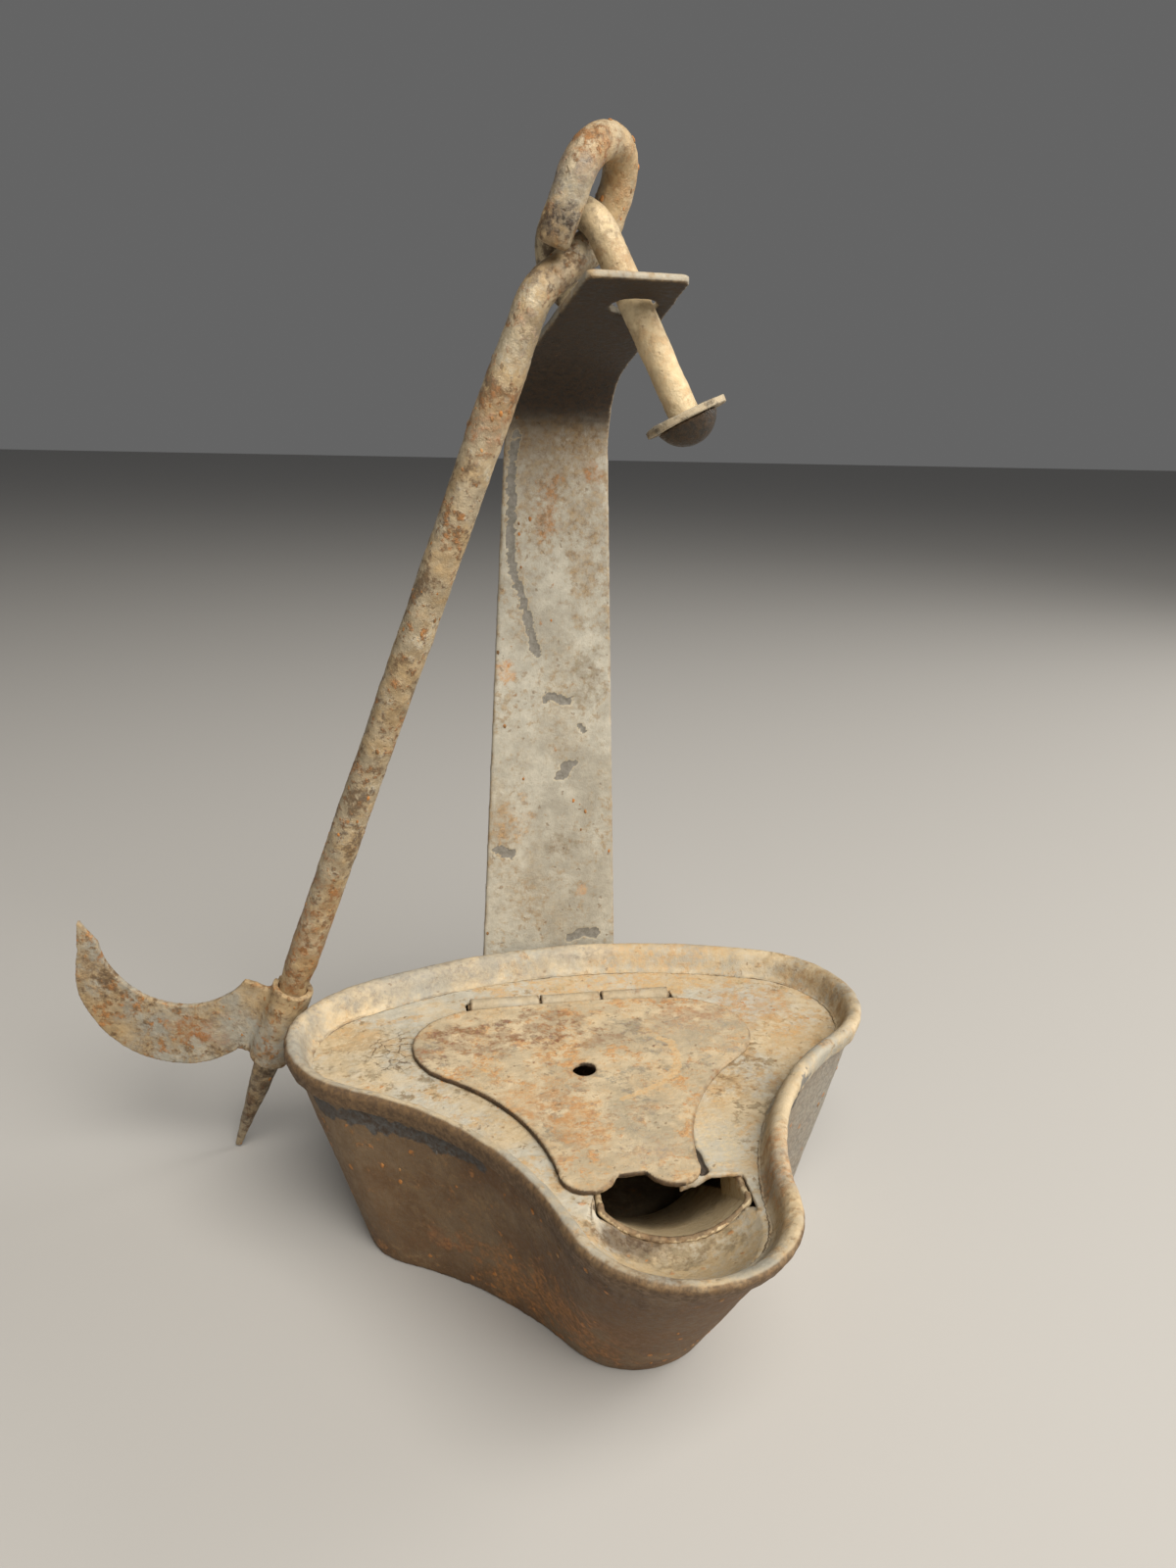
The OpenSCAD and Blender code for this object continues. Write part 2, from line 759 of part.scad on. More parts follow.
module back_strap() {
    full_w = 2 * strap_half_w(0);
    color("#847c70")
        difference() {
            intersection() {
                union() {
                    translate([-full_w / 2, 0, 0])
                        rotate([90, 0, 90])
                            linear_extrude(full_w)
                                strap_side();
                    translate([-full_w / 2, bend_y, strap_bend_z])
                        rotate([90, 0, 90])
                            strap_bend(full_w);
                    translate([-full_w / 2, flange_y, flange_z])
                        rotate([-flange_rise, 0, 0])
                            translate([0, -flange_len, 0])
                                cube([full_w, flange_len, strap_t]);
                }
                strap_taper();
                translate([0, 0, -past])
                    linear_extrude(past_all)
                        flange_plan();
            }
            at_rivets()
                cylinder(d = rivet_d + 2 * rivet_clear, h = 2 * past, center = true);
            translate(hole_pos)
                rotate([-flange_rise, 0, 0])
                    cylinder(d = flange_hole_d, h = 2 * past, center = true);
        }
}

// The strap's bend, running along Z, from the upright round to the flange
module strap_bend(length) {
    rotate_extrude(angle = bend_turn)
        translate([strap_bend_r, 0])
            square([strap_t, length]);
}

module strap_rivets() {
    outer_face = (strap_t + seat_gap) * cos(wall_lean) + seat_gap;
    inner_face = wall_t * cos(wall_lean) + seat_gap;
    color("#6d655a")
        at_rivets() {
            translate([0, 0, -inner_face])
                cylinder(d = rivet_d, h = inner_face + outer_face);
            translate([0, 0, outer_face])
                dome(rivet_head_d, rivet_head_h);
            translate([0, 0, -inner_face])
                mirror([0, 0, 1])
                    dome(rivet_head_d, rivet_head_h);
        }
}

module swivel_bolt() {
    seat_z = -bolt_drop - washer_t - washer_gap;
    color("#9a8a70")
        in_bolt_frame() {
            bar_run(bolt_d, seat_z - head_h / 2, eye_rise, bend_below = false);
            translate([0, 0, seat_z])
                mirror([0, 0, 1])
                    dome(head_d, head_h);
            rotate([0, 0, eye_turn])
                translate([eye_r, 0, eye_rise])
                    bar_bend(eye_r, bolt_d, 180 - eye_angle, 180);
        }
}

module swivel_washer() {
    color("#4b443c")
        in_bolt_frame()
            translate([0, 0, -bolt_drop - washer_t])
                difference() {
                    cylinder(d = washer_d, h = washer_t);
                    cylinder(d = bolt_d + 2 * washer_clear, h = 2 * past, center = true);
                }
}

// Closed loop at the rod's top, in the XZ plane, from the shoulder at the origin
module hanger_loop() {
    k = shoulder_angle;
    run_x = loop_w - 2 * shoulder_r * (1 - cos(k));
    run_len = run_x / sin(k);
    bend_out = [shoulder_r * (1 - cos(k)), 0, shoulder_r * sin(k)];
    back_z = 2 * bend_out.z + run_len * cos(k);
    turn_z = loop_h - loop_w / 2;
    translate([shoulder_r, 0, 0])
        bar_bend(shoulder_r, rod_d, 180 - k, 180);
    translate(bend_out)
        rotate([0, k, 0])
            bar_run(rod_d, 0, run_len);
    translate([loop_w - shoulder_r, 0, back_z])
        bar_bend(shoulder_r, rod_d, -k, 0);
    translate([loop_w, 0, 0])
        bar_run(rod_d, back_z, turn_z);
    translate([loop_w / 2, 0, turn_z])
        bar_bend(loop_w / 2, rod_d, 0, 180);
    bar_run(rod_d, loop_end_h, turn_z, bend_below = false);
}

module hanger_rod() {
    color("#8a7c66")
        in_rod_frame() {
            cylinder(d1 = spike_tip_d, d2 = spike_root_d, h = spike_len);
            bar_run(rod_d, spike_len, rod_len, bend_below = false);
            translate([0, 0, rod_len])
                rotate([0, 0, loop_turn])
                    hanger_loop();
        }
}

// Side view of the hook's blade: distance from the rod's axis, height along the rod
module hook_blade() {
    centre = [crescent_x, crescent_z];
    hollow = centre + [hollow_dx, hollow_dz];
    point = centre + [point_dx, point_dz];
    point_root = hollow + polar(hollow_r, point_inner_angle);
    blade_root_w = crescent_x - crescent_r + hollow_dx + hollow_dz / 2;
    blade_h = collar_len - blade_drop;
    difference() {
        union() {
            translate(centre)
                circle(crescent_r);
            translate([0, collar_low])
                square([blade_root_w, blade_h]);
            polygon([
                centre + polar(crescent_r, point_outer_angle),
                point,
                point_root,
                hollow + polar(hollow_r, point_inner_angle - point_lap)
            ]);
        }
        translate(hollow)
            circle(hollow_r);
        translate([0, collar_low + blade_h])
            square([crescent_x, 2 * crescent_r]);
        translate([-past, 0])
            square([past, rod_len]);
        // The blade ends on a straight line from its inner edge to its point
        polygon([point_root, point, point + [0, past], point_root + [0, past]]);
    }
}

module hook() {
    collar_r = rod_r + collar_clear + hook_t;
    color("#75684f")
        in_rod_frame()
            rotate([0, 0, hook_turn])
                difference() {
                    union() {
                        translate([0, 0, collar_low])
                            cylinder(r = collar_r, h = collar_len);
                        rotate([90, 0, 0])
                            linear_extrude(hook_t, center = true)
                                hook_blade();
                    }
                    translate([0, 0, -past])
                        cylinder(r = rod_r + collar_clear, h = rod_len);
                    rotate([0, 0, collar_slit_turn])
                        translate([0, -collar_slit / 2, collar_low - past])
                            cube([2 * collar_r, collar_slit, collar_len + 2 * past]);
                }
}

reservoir_wall();
reservoir_floor();
deck();
rim_binding();
wick_trough();
lid();
lid_hinge_leaf();
deck_hinge_leaf();
hinge_pin();
back_strap();
strap_rivets();
swivel_bolt();
swivel_washer();
hanger_rod();
hook();
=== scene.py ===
import json
import math

import bmesh
import bpy
import numpy as np
from mathutils import Euler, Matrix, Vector, noise

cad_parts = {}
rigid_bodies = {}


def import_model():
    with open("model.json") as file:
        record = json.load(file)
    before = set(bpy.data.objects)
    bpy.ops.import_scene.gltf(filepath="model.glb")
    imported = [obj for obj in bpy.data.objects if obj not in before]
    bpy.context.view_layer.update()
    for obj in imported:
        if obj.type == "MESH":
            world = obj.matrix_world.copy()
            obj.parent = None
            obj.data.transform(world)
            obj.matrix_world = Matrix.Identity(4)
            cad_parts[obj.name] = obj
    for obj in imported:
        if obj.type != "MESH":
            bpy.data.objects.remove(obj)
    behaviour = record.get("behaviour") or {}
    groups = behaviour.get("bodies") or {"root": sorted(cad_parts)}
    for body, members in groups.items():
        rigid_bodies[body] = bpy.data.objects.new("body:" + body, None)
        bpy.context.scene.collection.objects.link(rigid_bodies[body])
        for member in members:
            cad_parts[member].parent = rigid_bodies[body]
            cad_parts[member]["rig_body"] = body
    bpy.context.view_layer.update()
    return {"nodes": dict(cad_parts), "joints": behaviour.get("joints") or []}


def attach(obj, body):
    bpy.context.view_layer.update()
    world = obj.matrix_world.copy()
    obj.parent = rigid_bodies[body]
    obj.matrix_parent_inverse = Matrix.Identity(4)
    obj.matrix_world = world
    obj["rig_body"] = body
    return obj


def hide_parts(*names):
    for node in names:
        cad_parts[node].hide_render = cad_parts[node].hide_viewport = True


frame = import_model()
joints = {joint["name"]: joint for joint in frame["joints"]}
scene = bpy.context.scene
millimetre = 0.001
print("stage: frame loaded")

# Tones shared by the pieces, as linear colours
tones = {
    "greyPale": (0.455, 0.43, 0.36),
    "grey": (0.36, 0.335, 0.275),
    "greyDark": (0.16, 0.15, 0.128),
    "greyMid": (0.23, 0.218, 0.195),
    "slate": (0.11, 0.11, 0.107),
    "olive": (0.25, 0.22, 0.145),
    "clay": (0.53, 0.43, 0.285),
    "clayDark": (0.41, 0.335, 0.225),
    "tan": (0.42, 0.30, 0.16),
    "tanPale": (0.54, 0.42, 0.25),
    "cream": (0.62, 0.51, 0.325),
    "brown": (0.17, 0.10, 0.045),
    "brownGrey": (0.23, 0.175, 0.11),
    "brownDark": (0.05, 0.03, 0.017),
    "orange": (0.46, 0.19, 0.05),
    "orangePale": (0.56, 0.34, 0.15),
    "redBrown": (0.22, 0.085, 0.045),
    "umber": (0.09, 0.055, 0.03),
    "wallBrown": (0.145, 0.078, 0.035),
    "wallGrey": (0.195, 0.132, 0.075),
    "black": (0.014, 0.011, 0.009),
}


def newNode(tree, kind, inputs, **options):
    node = tree.nodes.new(kind)
    for key, value in options.items():
        setattr(node, key, value)
    for key, value in inputs.items():
        if isinstance(value, bpy.types.NodeSocket):
            tree.links.new(value, node.inputs[key])
        else:
            node.inputs[key].default_value = value
    return node


def colour(name):
    return (*tones[name], 1.0)


def mathOf(tree, operation, first, second):
    return newNode(tree, "ShaderNodeMath", {0: first, 1: second}, operation=operation).outputs[0]


# A value with a share of another added to it
def addOf(tree, value, other, share):
    return mathOf(tree, "ADD", value, mathOf(tree, "MULTIPLY", other, share))


def vectorOf(tree, operation, inputs):
    return newNode(tree, "ShaderNodeVectorMath", inputs, operation=operation).outputs


seedShift = (17.3, 5.9, 11.7)  # how far a pattern moves for each step of its seed


def shiftOf(tree, place, seed):
    shift = tuple(seed * step for step in seedShift)
    return vectorOf(tree, "ADD", {0: place, 1: shift})[0]


def noiseOf(tree, place, size, seed, detail, roughness):
    inputs = {"Vector": shiftOf(tree, place, seed), "Scale": 1 / size, "Detail": detail,
              "Roughness": roughness}
    return newNode(tree, "ShaderNodeTexNoise", inputs).outputs["Fac"]


def rangeOf(tree, value, low, high, toLow=0.0, toHigh=1.0):
    inputs = {"Value": value, "From Min": low, "From Max": high, "To Min": toLow, "To Max": toHigh}
    return newNode(tree, "ShaderNodeMapRange", inputs, interpolation_type="SMOOTHSTEP").outputs["Result"]


def mixOf(tree, share, under, over, blend="MIX"):
    inputs = {0: share, 6: under, 7: over}
    return newNode(tree, "ShaderNodeMix", inputs, data_type="RGBA", blend_type=blend).outputs[2]


wanderNoise = {"Scale": 0.9, "Detail": 5.0}


# Places bent about by up to a given reach, so that what is drawn there comes out ragged
def bentOf(tree, place, reach):
    wander = newNode(tree, "ShaderNodeTexNoise", {"Vector": place, **wanderNoise}).outputs["Color"]
    return vectorOf(tree, "MULTIPLY_ADD", {0: wander, 1: (reach, reach, reach), 2: place})[0]


speckEdge = {"bend": 1.8, "core": 0.5, "step": 0.02}


# Ragged specks of one size, of which only some are there
def specksOf(tree, place, specks, seed):
    bent = bentOf(tree, place, speckEdge["bend"])
    inputs = {"Vector": shiftOf(tree, bent, seed), "Scale": 1 / specks["size"]}
    cells = newNode(tree, "ShaderNodeTexVoronoi", inputs)
    chosen = newNode(tree, "ShaderNodeSeparateColor", {0: cells.outputs["Color"]})
    core = specks["radius"] * speckEdge["core"]
    inside = rangeOf(tree, cells.outputs["Distance"], specks["radius"], core)
    missing = 1 - specks["chance"]
    there = rangeOf(tree, chosen.outputs["Red"], missing, missing + speckEdge["step"])
    return mathOf(tree, "MULTIPLY", mathOf(tree, "MULTIPLY", inside, there), specks["share"])


# Where one tone gives way to another, as values of the noise or mark that parts them
toneLines = {
    "broad": (0.4, 0.6), "mottle": (0.32, 0.68), "fine": (0.36, 0.64), "grain": (0.42, 0.58),
    "lip": (0.02, 0.2), "wear": (0.38, 0.58), "sheen": (0.3, 0.7),
}


# Share of a stain or a patch of painted light and shade that fades from its centre outwards with a ragged
# edge, sizes in millimetres
def stainAndPaintedLightOf(tree, place, ragged, grains, patch):
    fromCentre = vectorOf(tree, "SUBTRACT", {0: place, 1: patch["centre"]})[0]
    inRadii = vectorOf(tree, "DIVIDE", {0: fromCentre, 1: patch["radii"]})[0]
    reach = vectorOf(tree, "LENGTH", {0: inRadii})["Value"]
    rough = mathOf(tree, "MULTIPLY", ragged, patch["ragged"])
    inside = rangeOf(tree, mathOf(tree, "ADD", reach, rough), 1.0 + patch["soft"], 1.0 - patch["soft"])
    leastShare = patch["share"] * (1 - patch["grain"])
    sown = rangeOf(tree, grains, *toneLines["grain"], leastShare, patch["share"])
    return mathOf(tree, "MULTIPLY", inside, sown)


def stainAndPaintedLight(first, second, centre, radii, share=0.8, ragged=3.0, soft=0.45, grain=0.7):
    return {"tones": (first, second), "centre": centre, "radii": radii, "share": share, "ragged": ragged,
            "soft": soft, "grain": grain}


# The noises that every look is made of, sizes in millimetres
ironNoise = {
    "broad": {"detail": 6.0, "roughness": 0.62},
    "middle": {"size": 3.5, "detail": 9.0, "roughness": 0.7},
    "fine": {"size": 0.8, "detail": 6.0, "roughness": 0.72},
    "grit": {"size": 1.4, "detail": 8.0, "roughness": 0.7},
    "coat": {"detail": 7.0, "roughness": 0.62},
}
# Shares of two noises in the relief, its depth, and how far cracks are bent, in millimetres
ironRelief = {"fine": 0.55, "middle": 0.8, "depth": 0.4, "crackBend": 1.2}
mottleLift = 0.6  # how much of a look's mottle goes to the pale side
leastWear = 0.2
# Where a mark begins, where it is full, and the share that it then covers
markCover = {"soilAndShade": (0.0, 1.0, 0.98), "flakeAndGapShade": (0.2, 0.7, 0.95), "trace": (0.2, 0.7, 0.75)}
seedOffset = {"middle": 1, "fine": 2, "grit": 3, "coat": 10, "specks": 30}


# Old iron: mottled base, ragged layers, stains and some patches of painted light and shade, cracks, specks,
# flaked places and a groove painted black as gap shade, soil and painted shade on faces turned from the
# light, darkening in hollows and worn edges
def agedIron(name, look):
    material = bpy.data.materials.new(name)
    material.use_nodes = True
    tree = material.node_tree
    shader = tree.nodes["Principled BSDF"]
    seed = look["seed"]
    objectPlace = newNode(tree, "ShaderNodeTexCoord", {}).outputs["Object"]
    place = vectorOf(tree, "SCALE", {0: objectPlace, "Scale": 1 / millimetre})[0]
    marks = {}
    for mark in ("edge", "hollow", "flakeAndGapShade", "trace", "soilAndShade"):
        marks[mark] = newNode(tree, "ShaderNodeAttribute", {}, attribute_name=mark).outputs["Fac"]
    broad = noiseOf(tree, place, look["broad"], seed, **ironNoise["broad"])
    middle, fine, grit = [noiseOf(tree, place, seed=seed + seedOffset[label], **ironNoise[label])
                          for label in ("middle", "fine", "grit")]
    ragged = mathOf(tree, "SUBTRACT", middle, 0.5)
    fineShare = rangeOf(tree, fine, *toneLines["fine"])

    def twoTone(pair):
        return mixOf(tree, fineShare, *[colour(tone) for tone in pair])

    body = mixOf(tree, rangeOf(tree, broad, *toneLines["broad"]), *[colour(tone) for tone in look["base"]])
    palest = 1 + mottleLift * look["mottle"]
    mottle = rangeOf(tree, middle, *toneLines["mottle"], 1 - look["mottle"], palest)
    body = mixOf(tree, 1.0, body, mottle, "MULTIPLY")
    height = addOf(tree, mathOf(tree, "MULTIPLY", fine, ironRelief["fine"]), middle, ironRelief["middle"])
    for index, coat in enumerate(look["layers"]):
        stretched = vectorOf(tree, "MULTIPLY", {0: place, 1: coat["stretch"]})[0]
        coatSeed = seed + seedOffset["coat"] + index
        field = noiseOf(tree, stretched, coat["size"], coatSeed, **ironNoise["coat"])
        field = addOf(tree, mathOf(tree, "MULTIPLY", field, 1 - coat["grain"]), grit, coat["grain"])
        share = rangeOf(tree, field, coat["line"] - coat["soft"], coat["line"] + coat["soft"])
        share = mathOf(tree, "MULTIPLY", share, coat["share"])
        body = mixOf(tree, share, body, twoTone(coat["tones"]))
        height = addOf(tree, height, share, coat["rise"])
    for patch in look.get("stainsAndPaintedLight", []):
        body = mixOf(tree, stainAndPaintedLightOf(tree, place, ragged, grit, patch), body, twoTone(patch["tones"]))
    for crack in look.get("cracks", []):
        inputs = {"Vector": bentOf(tree, place, ironRelief["crackBend"]), "Scale": 1 / crack["size"]}
        cells = newNode(tree, "ShaderNodeTexVoronoi", inputs, feature="DISTANCE_TO_EDGE")
        line = rangeOf(tree, cells.outputs["Distance"], crack["width"], 0.0)
        share = mathOf(tree, "MULTIPLY", stainAndPaintedLightOf(tree, place, ragged, grit, crack), line)
        body = mixOf(tree, share, body, twoTone(crack["tones"]))
        height = mathOf(tree, "SUBTRACT", height, share)
    for index, specks in enumerate(look["specks"]):
        share = specksOf(tree, place, specks, seed + seedOffset["specks"] + index)
        body = mixOf(tree, share, body, colour(specks["tone"]))
        height = addOf(tree, height, share, specks["rise"])
    lip = mathOf(tree, "MULTIPLY", rangeOf(tree, marks["flakeAndGapShade"], *toneLines["lip"]), look["flakeLip"])
    body = mixOf(tree, lip, body, colour("cream"))
    # The soil mark darkens faces as painted shade on the rim, lid and strap, and as real soil on the bolt's
    # head
    for mark, (start, full, cover) in markCover.items():
        share = mathOf(tree, "MULTIPLY", rangeOf(tree, marks[mark], start, full), cover)
        body = mixOf(tree, share, body, twoTone(look[mark + "Tones"]))
    # Darker towards umber in the hollows, by the hollow mark
    hollowDarkening = mathOf(tree, "MULTIPLY", marks["hollow"], look["hollowDarkening"])
    body = mixOf(tree, hollowDarkening, body, colour("umber"))
    wear = rangeOf(tree, middle, *toneLines["wear"], leastWear, look["edgeWear"])
    worn = mathOf(tree, "MULTIPLY", marks["edge"], wear)
    body = mixOf(tree, worn, body, twoTone(look["edgeTones"]))
    tree.links.new(body, shader.inputs["Base Color"])

    roughness = rangeOf(tree, fine, *toneLines["sheen"], *look["roughness"])
    tree.links.new(roughness, shader.inputs["Roughness"])
    shader.inputs["Metallic"].default_value = look["metal"]
    shader.inputs["Specular IOR Level"].default_value = look["specular"]
    inputs = {"Height": height, "Strength": look["bump"], "Distance": ironRelief["depth"] * millimetre}
    bump = newNode(tree, "ShaderNodeBump", inputs)
    tree.links.new(bump.outputs["Normal"], shader.inputs["Normal"])
    return material


def readVectors(items, name):
    values = np.zeros(len(items) * 3)
    items.foreach_get(name, values)
    return values.reshape(-1, 3)


def writeMark(mesh, name, values):
    attribute = mesh.attributes.new(name, "FLOAT", "POINT")
    attribute.data.foreach_set("value", np.clip(values, 0, 1).astype(np.float32))


def smooth(values, low, high):
    share = np.clip((values - low) / (high - low), 0, 1)
    return share * share * (3 - 2 * share)


# A function that gives the mean of a value over each vertex's neighbours
def neighbourMean(mesh):
    count = len(mesh.vertices)
    ends = np.zeros(len(mesh.edges) * 2, int)
    mesh.edges.foreach_get("vertices", ends)
    first, second = ends.reshape(-1, 2).T
    degree = np.maximum(np.bincount(ends, minlength=count), 1)

    def around(values):
        total = np.bincount(first, values[second], count) + np.bincount(second, values[first], count)
        return total / degree

    return around


def meanPlace(place, around):
    return np.stack([around(place[:, axis]) for axis in range(3)], 1)


# Draws each point towards its neighbours' mean by its own share, again and again
def relax(place, around, share, passes):
    for _ in range(passes):
        place = place + (meanPlace(place, around) - place) * share[:, None]
    return place


# Marks from twice the mean curvature: for each millimetre 0.4 on the round bars, over 1 on sheets' edges
bendMarks = {"edge": (0.6, 1.8), "hollow": (0.4, 1.4), "passes": 3, "spread": 0.6}


# How sharply each vertex stands out or lies in, spread over a few neighbours
def markEdges(mesh, settings, around):
    place = readVectors(mesh.vertices, "co")
    normal = readVectors(mesh.vertices, "normal")
    standing = ((place - meanPlace(place, around)) * normal).sum(1)
    bend = 4 * standing * millimetre / (settings["grain"] * millimetre) ** 2
    spread = bendMarks["spread"]
    for _ in range(bendMarks["passes"]):
        bend = (1 - spread) * bend + spread * around(bend)
    writeMark(mesh, "edge", smooth(bend, *bendMarks["edge"]))
    writeMark(mesh, "hollow", smooth(-bend, *bendMarks["hollow"]))


# Distance of points from a path, in the path's own units
def pathDistance(points, path):
    best = np.full(len(points), np.inf)
    for start, end in zip(path[:-1], path[1:]):
        start, run = np.array(start, float), np.subtract(end, start)
        along = np.clip((points - start) @ run / (run @ run), 0, 1)
        best = np.minimum(best, np.linalg.norm(points - start - along[:, None] * run, axis=1))
    return best


# Edge of a ragged band: sizes in radii of the band, then the noise that makes it ragged
bandEdge = {"reach": 2.2, "start": 1.05, "soft": 0.3, "ragged": 0.75,
            "noiseSize": 1.3, "roughness": 0.8, "lacunarity": 2.1, "octaves": 4}


# Share of each vertex that lies within ragged bands along some paths
def bandShare(place, bands):
    share = np.zeros(len(place))
    for band in bands:
        reach = pathDistance(place, band["path"]) / band["radius"]
        ragged = band.get("ragged", bandEdge["ragged"])
        for index in np.nonzero(reach < bandEdge["reach"])[0]:
            spot = Vector(place[index] / (bandEdge["noiseSize"] * band["radius"]))
            rough = noise.fractal(spot, bandEdge["roughness"], bandEdge["lacunarity"], bandEdge["octaves"])
            inside = (bandEdge["start"] - reach[index] - ragged * rough) / bandEdge["soft"]
            share[index] = max(share[index], np.clip(inside, 0, 1))
    return share


# The soil mark is painted shade on the rim, lid and strap and real black on the bolt's head; this fade serves
# both
soilAndShadeEdge = {"plane": 0.3, "box": 1}  # millimetres over which soil fades
flakeDepth = 0.14


# Flaked places, and the deck's groove painted black as gap shade, are sunk by a little; traces, soiled faces
# and faces with painted shade only change the tone
def markFaces(mesh, settings):
    place = readVectors(mesh.vertices, "co") / millimetre
    normal = readVectors(mesh.vertices, "normal")
    flakedAndGapShaded = bandShare(place, settings.get("flakesAndGapShades", []))
    soiledAndShaded = np.zeros(len(place))
    for soilAndShade in settings.get("soilAndShade", []):
        share = np.ones(len(place))
        if "facing" in soilAndShade:
            share = smooth(normal @ np.array(soilAndShade["facing"]), *soilAndShade["turn"])
        if "beyond" in soilAndShade:
            past = (place - np.array(soilAndShade["beyond"])) @ np.array(soilAndShade["run"])
            share = smooth(past, -soilAndShadeEdge["plane"], soilAndShadeEdge["plane"])
        for axis in range(3):
            low, high = soilAndShade["low"][axis], soilAndShade["high"][axis]
            share *= smooth(place[:, axis], low - soilAndShadeEdge["box"], low + soilAndShadeEdge["box"])
            share *= smooth(place[:, axis], high + soilAndShadeEdge["box"], high - soilAndShadeEdge["box"])
        soiledAndShaded = np.maximum(soiledAndShaded, share)
    writeMark(mesh, "flakeAndGapShade", flakedAndGapShaded)
    writeMark(mesh, "trace", bandShare(place, settings.get("traces", [])))
    writeMark(mesh, "soilAndShade", soiledAndShaded)
    place -= normal * (flakedAndGapShaded * settings.get("flakeDepth", flakeDepth))[:, None]
    mesh.vertices.foreach_set("co", (place * millimetre).ravel())


handWork = {"weld": 0.001, "softenFactor": 0.5, "noiseDepth": 3}


def noiseField(name, size):
    field = bpy.data.textures.new(name, "CLOUDS")
    field.noise_scale = size * millimetre
    field.noise_depth = handWork["noiseDepth"]
    return field


# A CAD node's mesh made anew in small even faces, softened, waved, dented and roughened
def roughMesh(piece, settings):
    weld = bmesh.new()
    weld.from_mesh(piece.data)
    bmesh.ops.remove_doubles(weld, verts=weld.verts, dist=handWork["weld"] * millimetre)
    weld.to_mesh(piece.data)
    weld.free()
    remesh = piece.modifiers.new("remesh", "REMESH")
    remesh.mode = "VOXEL"
    remesh.voxel_size = settings["grain"] * millimetre
    soften = piece.modifiers.new("soften", "SMOOTH")
    soften.factor = handWork["softenFactor"]
    soften.iterations = settings["soften"]
    directions = {"wave": settings.get("waveAxis", "NORMAL"), "dent": "NORMAL", "crust": "NORMAL"}
    for label, direction in directions.items():
        size, depth = settings[label]
        displace = piece.modifiers.new(label, "DISPLACE")
        displace.texture = noiseField(settings["name"] + label, size)
        displace.texture_coords = "LOCAL"
        displace.direction = direction
        displace.mid_level = 0.5
        displace.strength = depth * millimetre
    graph = bpy.context.evaluated_depsgraph_get()
    mesh = bpy.data.meshes.new_from_object(piece.evaluated_get(graph))
    piece.modifiers.clear()
    mesh.materials.clear()
    mesh.shade_smooth()
    return mesh


# A hand-made copy of a CAD node, which stands in for it on the same body
def handMade(settings):
    node = settings["node"]
    cad = frame["nodes"][node]
    piece = bpy.data.objects.new(settings["name"], cad.data.copy())
    scene.collection.objects.link(piece)
    mesh = roughMesh(piece, settings)
    piece.data = mesh
    around = neighbourMean(mesh)
    if "shape" in settings:
        place = readVectors(mesh.vertices, "co") / millimetre
        place = settings["shape"](place, readVectors(mesh.vertices, "normal"), around)
        mesh.vertices.foreach_set("co", (place * millimetre).ravel())
        mesh.update()
    markEdges(mesh, settings, around)
    markFaces(mesh, settings)
    mesh.materials.append(agedIron(settings["name"] + "Iron", settings["look"]))
    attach(piece, cad["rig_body"])
    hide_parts(node)
    print("piece:", settings["name"], len(mesh.polygons), "faces")
    return piece


# A ragged coat: its two tones, the size of its noise, the value where it begins and the share it covers
def layer(first, second, size, line, share, soft=0.05, rise=0.15, grain=0.45, stretch=(1, 1, 1)):
    return {"tones": (first, second), "size": size, "line": line, "share": share, "soft": soft, "rise": rise,
            "grain": grain, "stretch": stretch}


pits = {"tone": "brown", "size": 1.5, "radius": 0.26, "chance": 0.2, "share": 0.45, "rise": -0.5}
rustSpecks = {"tone": "orange", "size": 2.4, "radius": 0.2, "chance": 0.22, "share": 0.6, "rise": 0.4}
sheetLook = {
    "seed": 1, "broad": 14, "base": ("grey", "greyPale"), "mottle": 0.16,
    "layers": [layer("tan", "brownGrey", 11, 0.54, 0.5, 0.08), layer("brown", "orange", 5, 0.58, 0.6, 0.04)],
    "specks": [pits], "hollowDarkening": 0.7, "edgeWear": 0.7, "edgeTones": ("brown", "tan"),
    "soilAndShadeTones": ("umber", "brownDark"), "flakeAndGapShadeTones": ("slate", "greyDark"), "flakeLip": 0.0,
    "traceTones": ("brownDark", "umber"),
    "roughness": (0.5, 0.85), "metal": 0.1, "specular": 0.35, "bump": 0.7,
}
everywhere = {"low": (-99, -99, -9), "high": (99, 99, 199)}

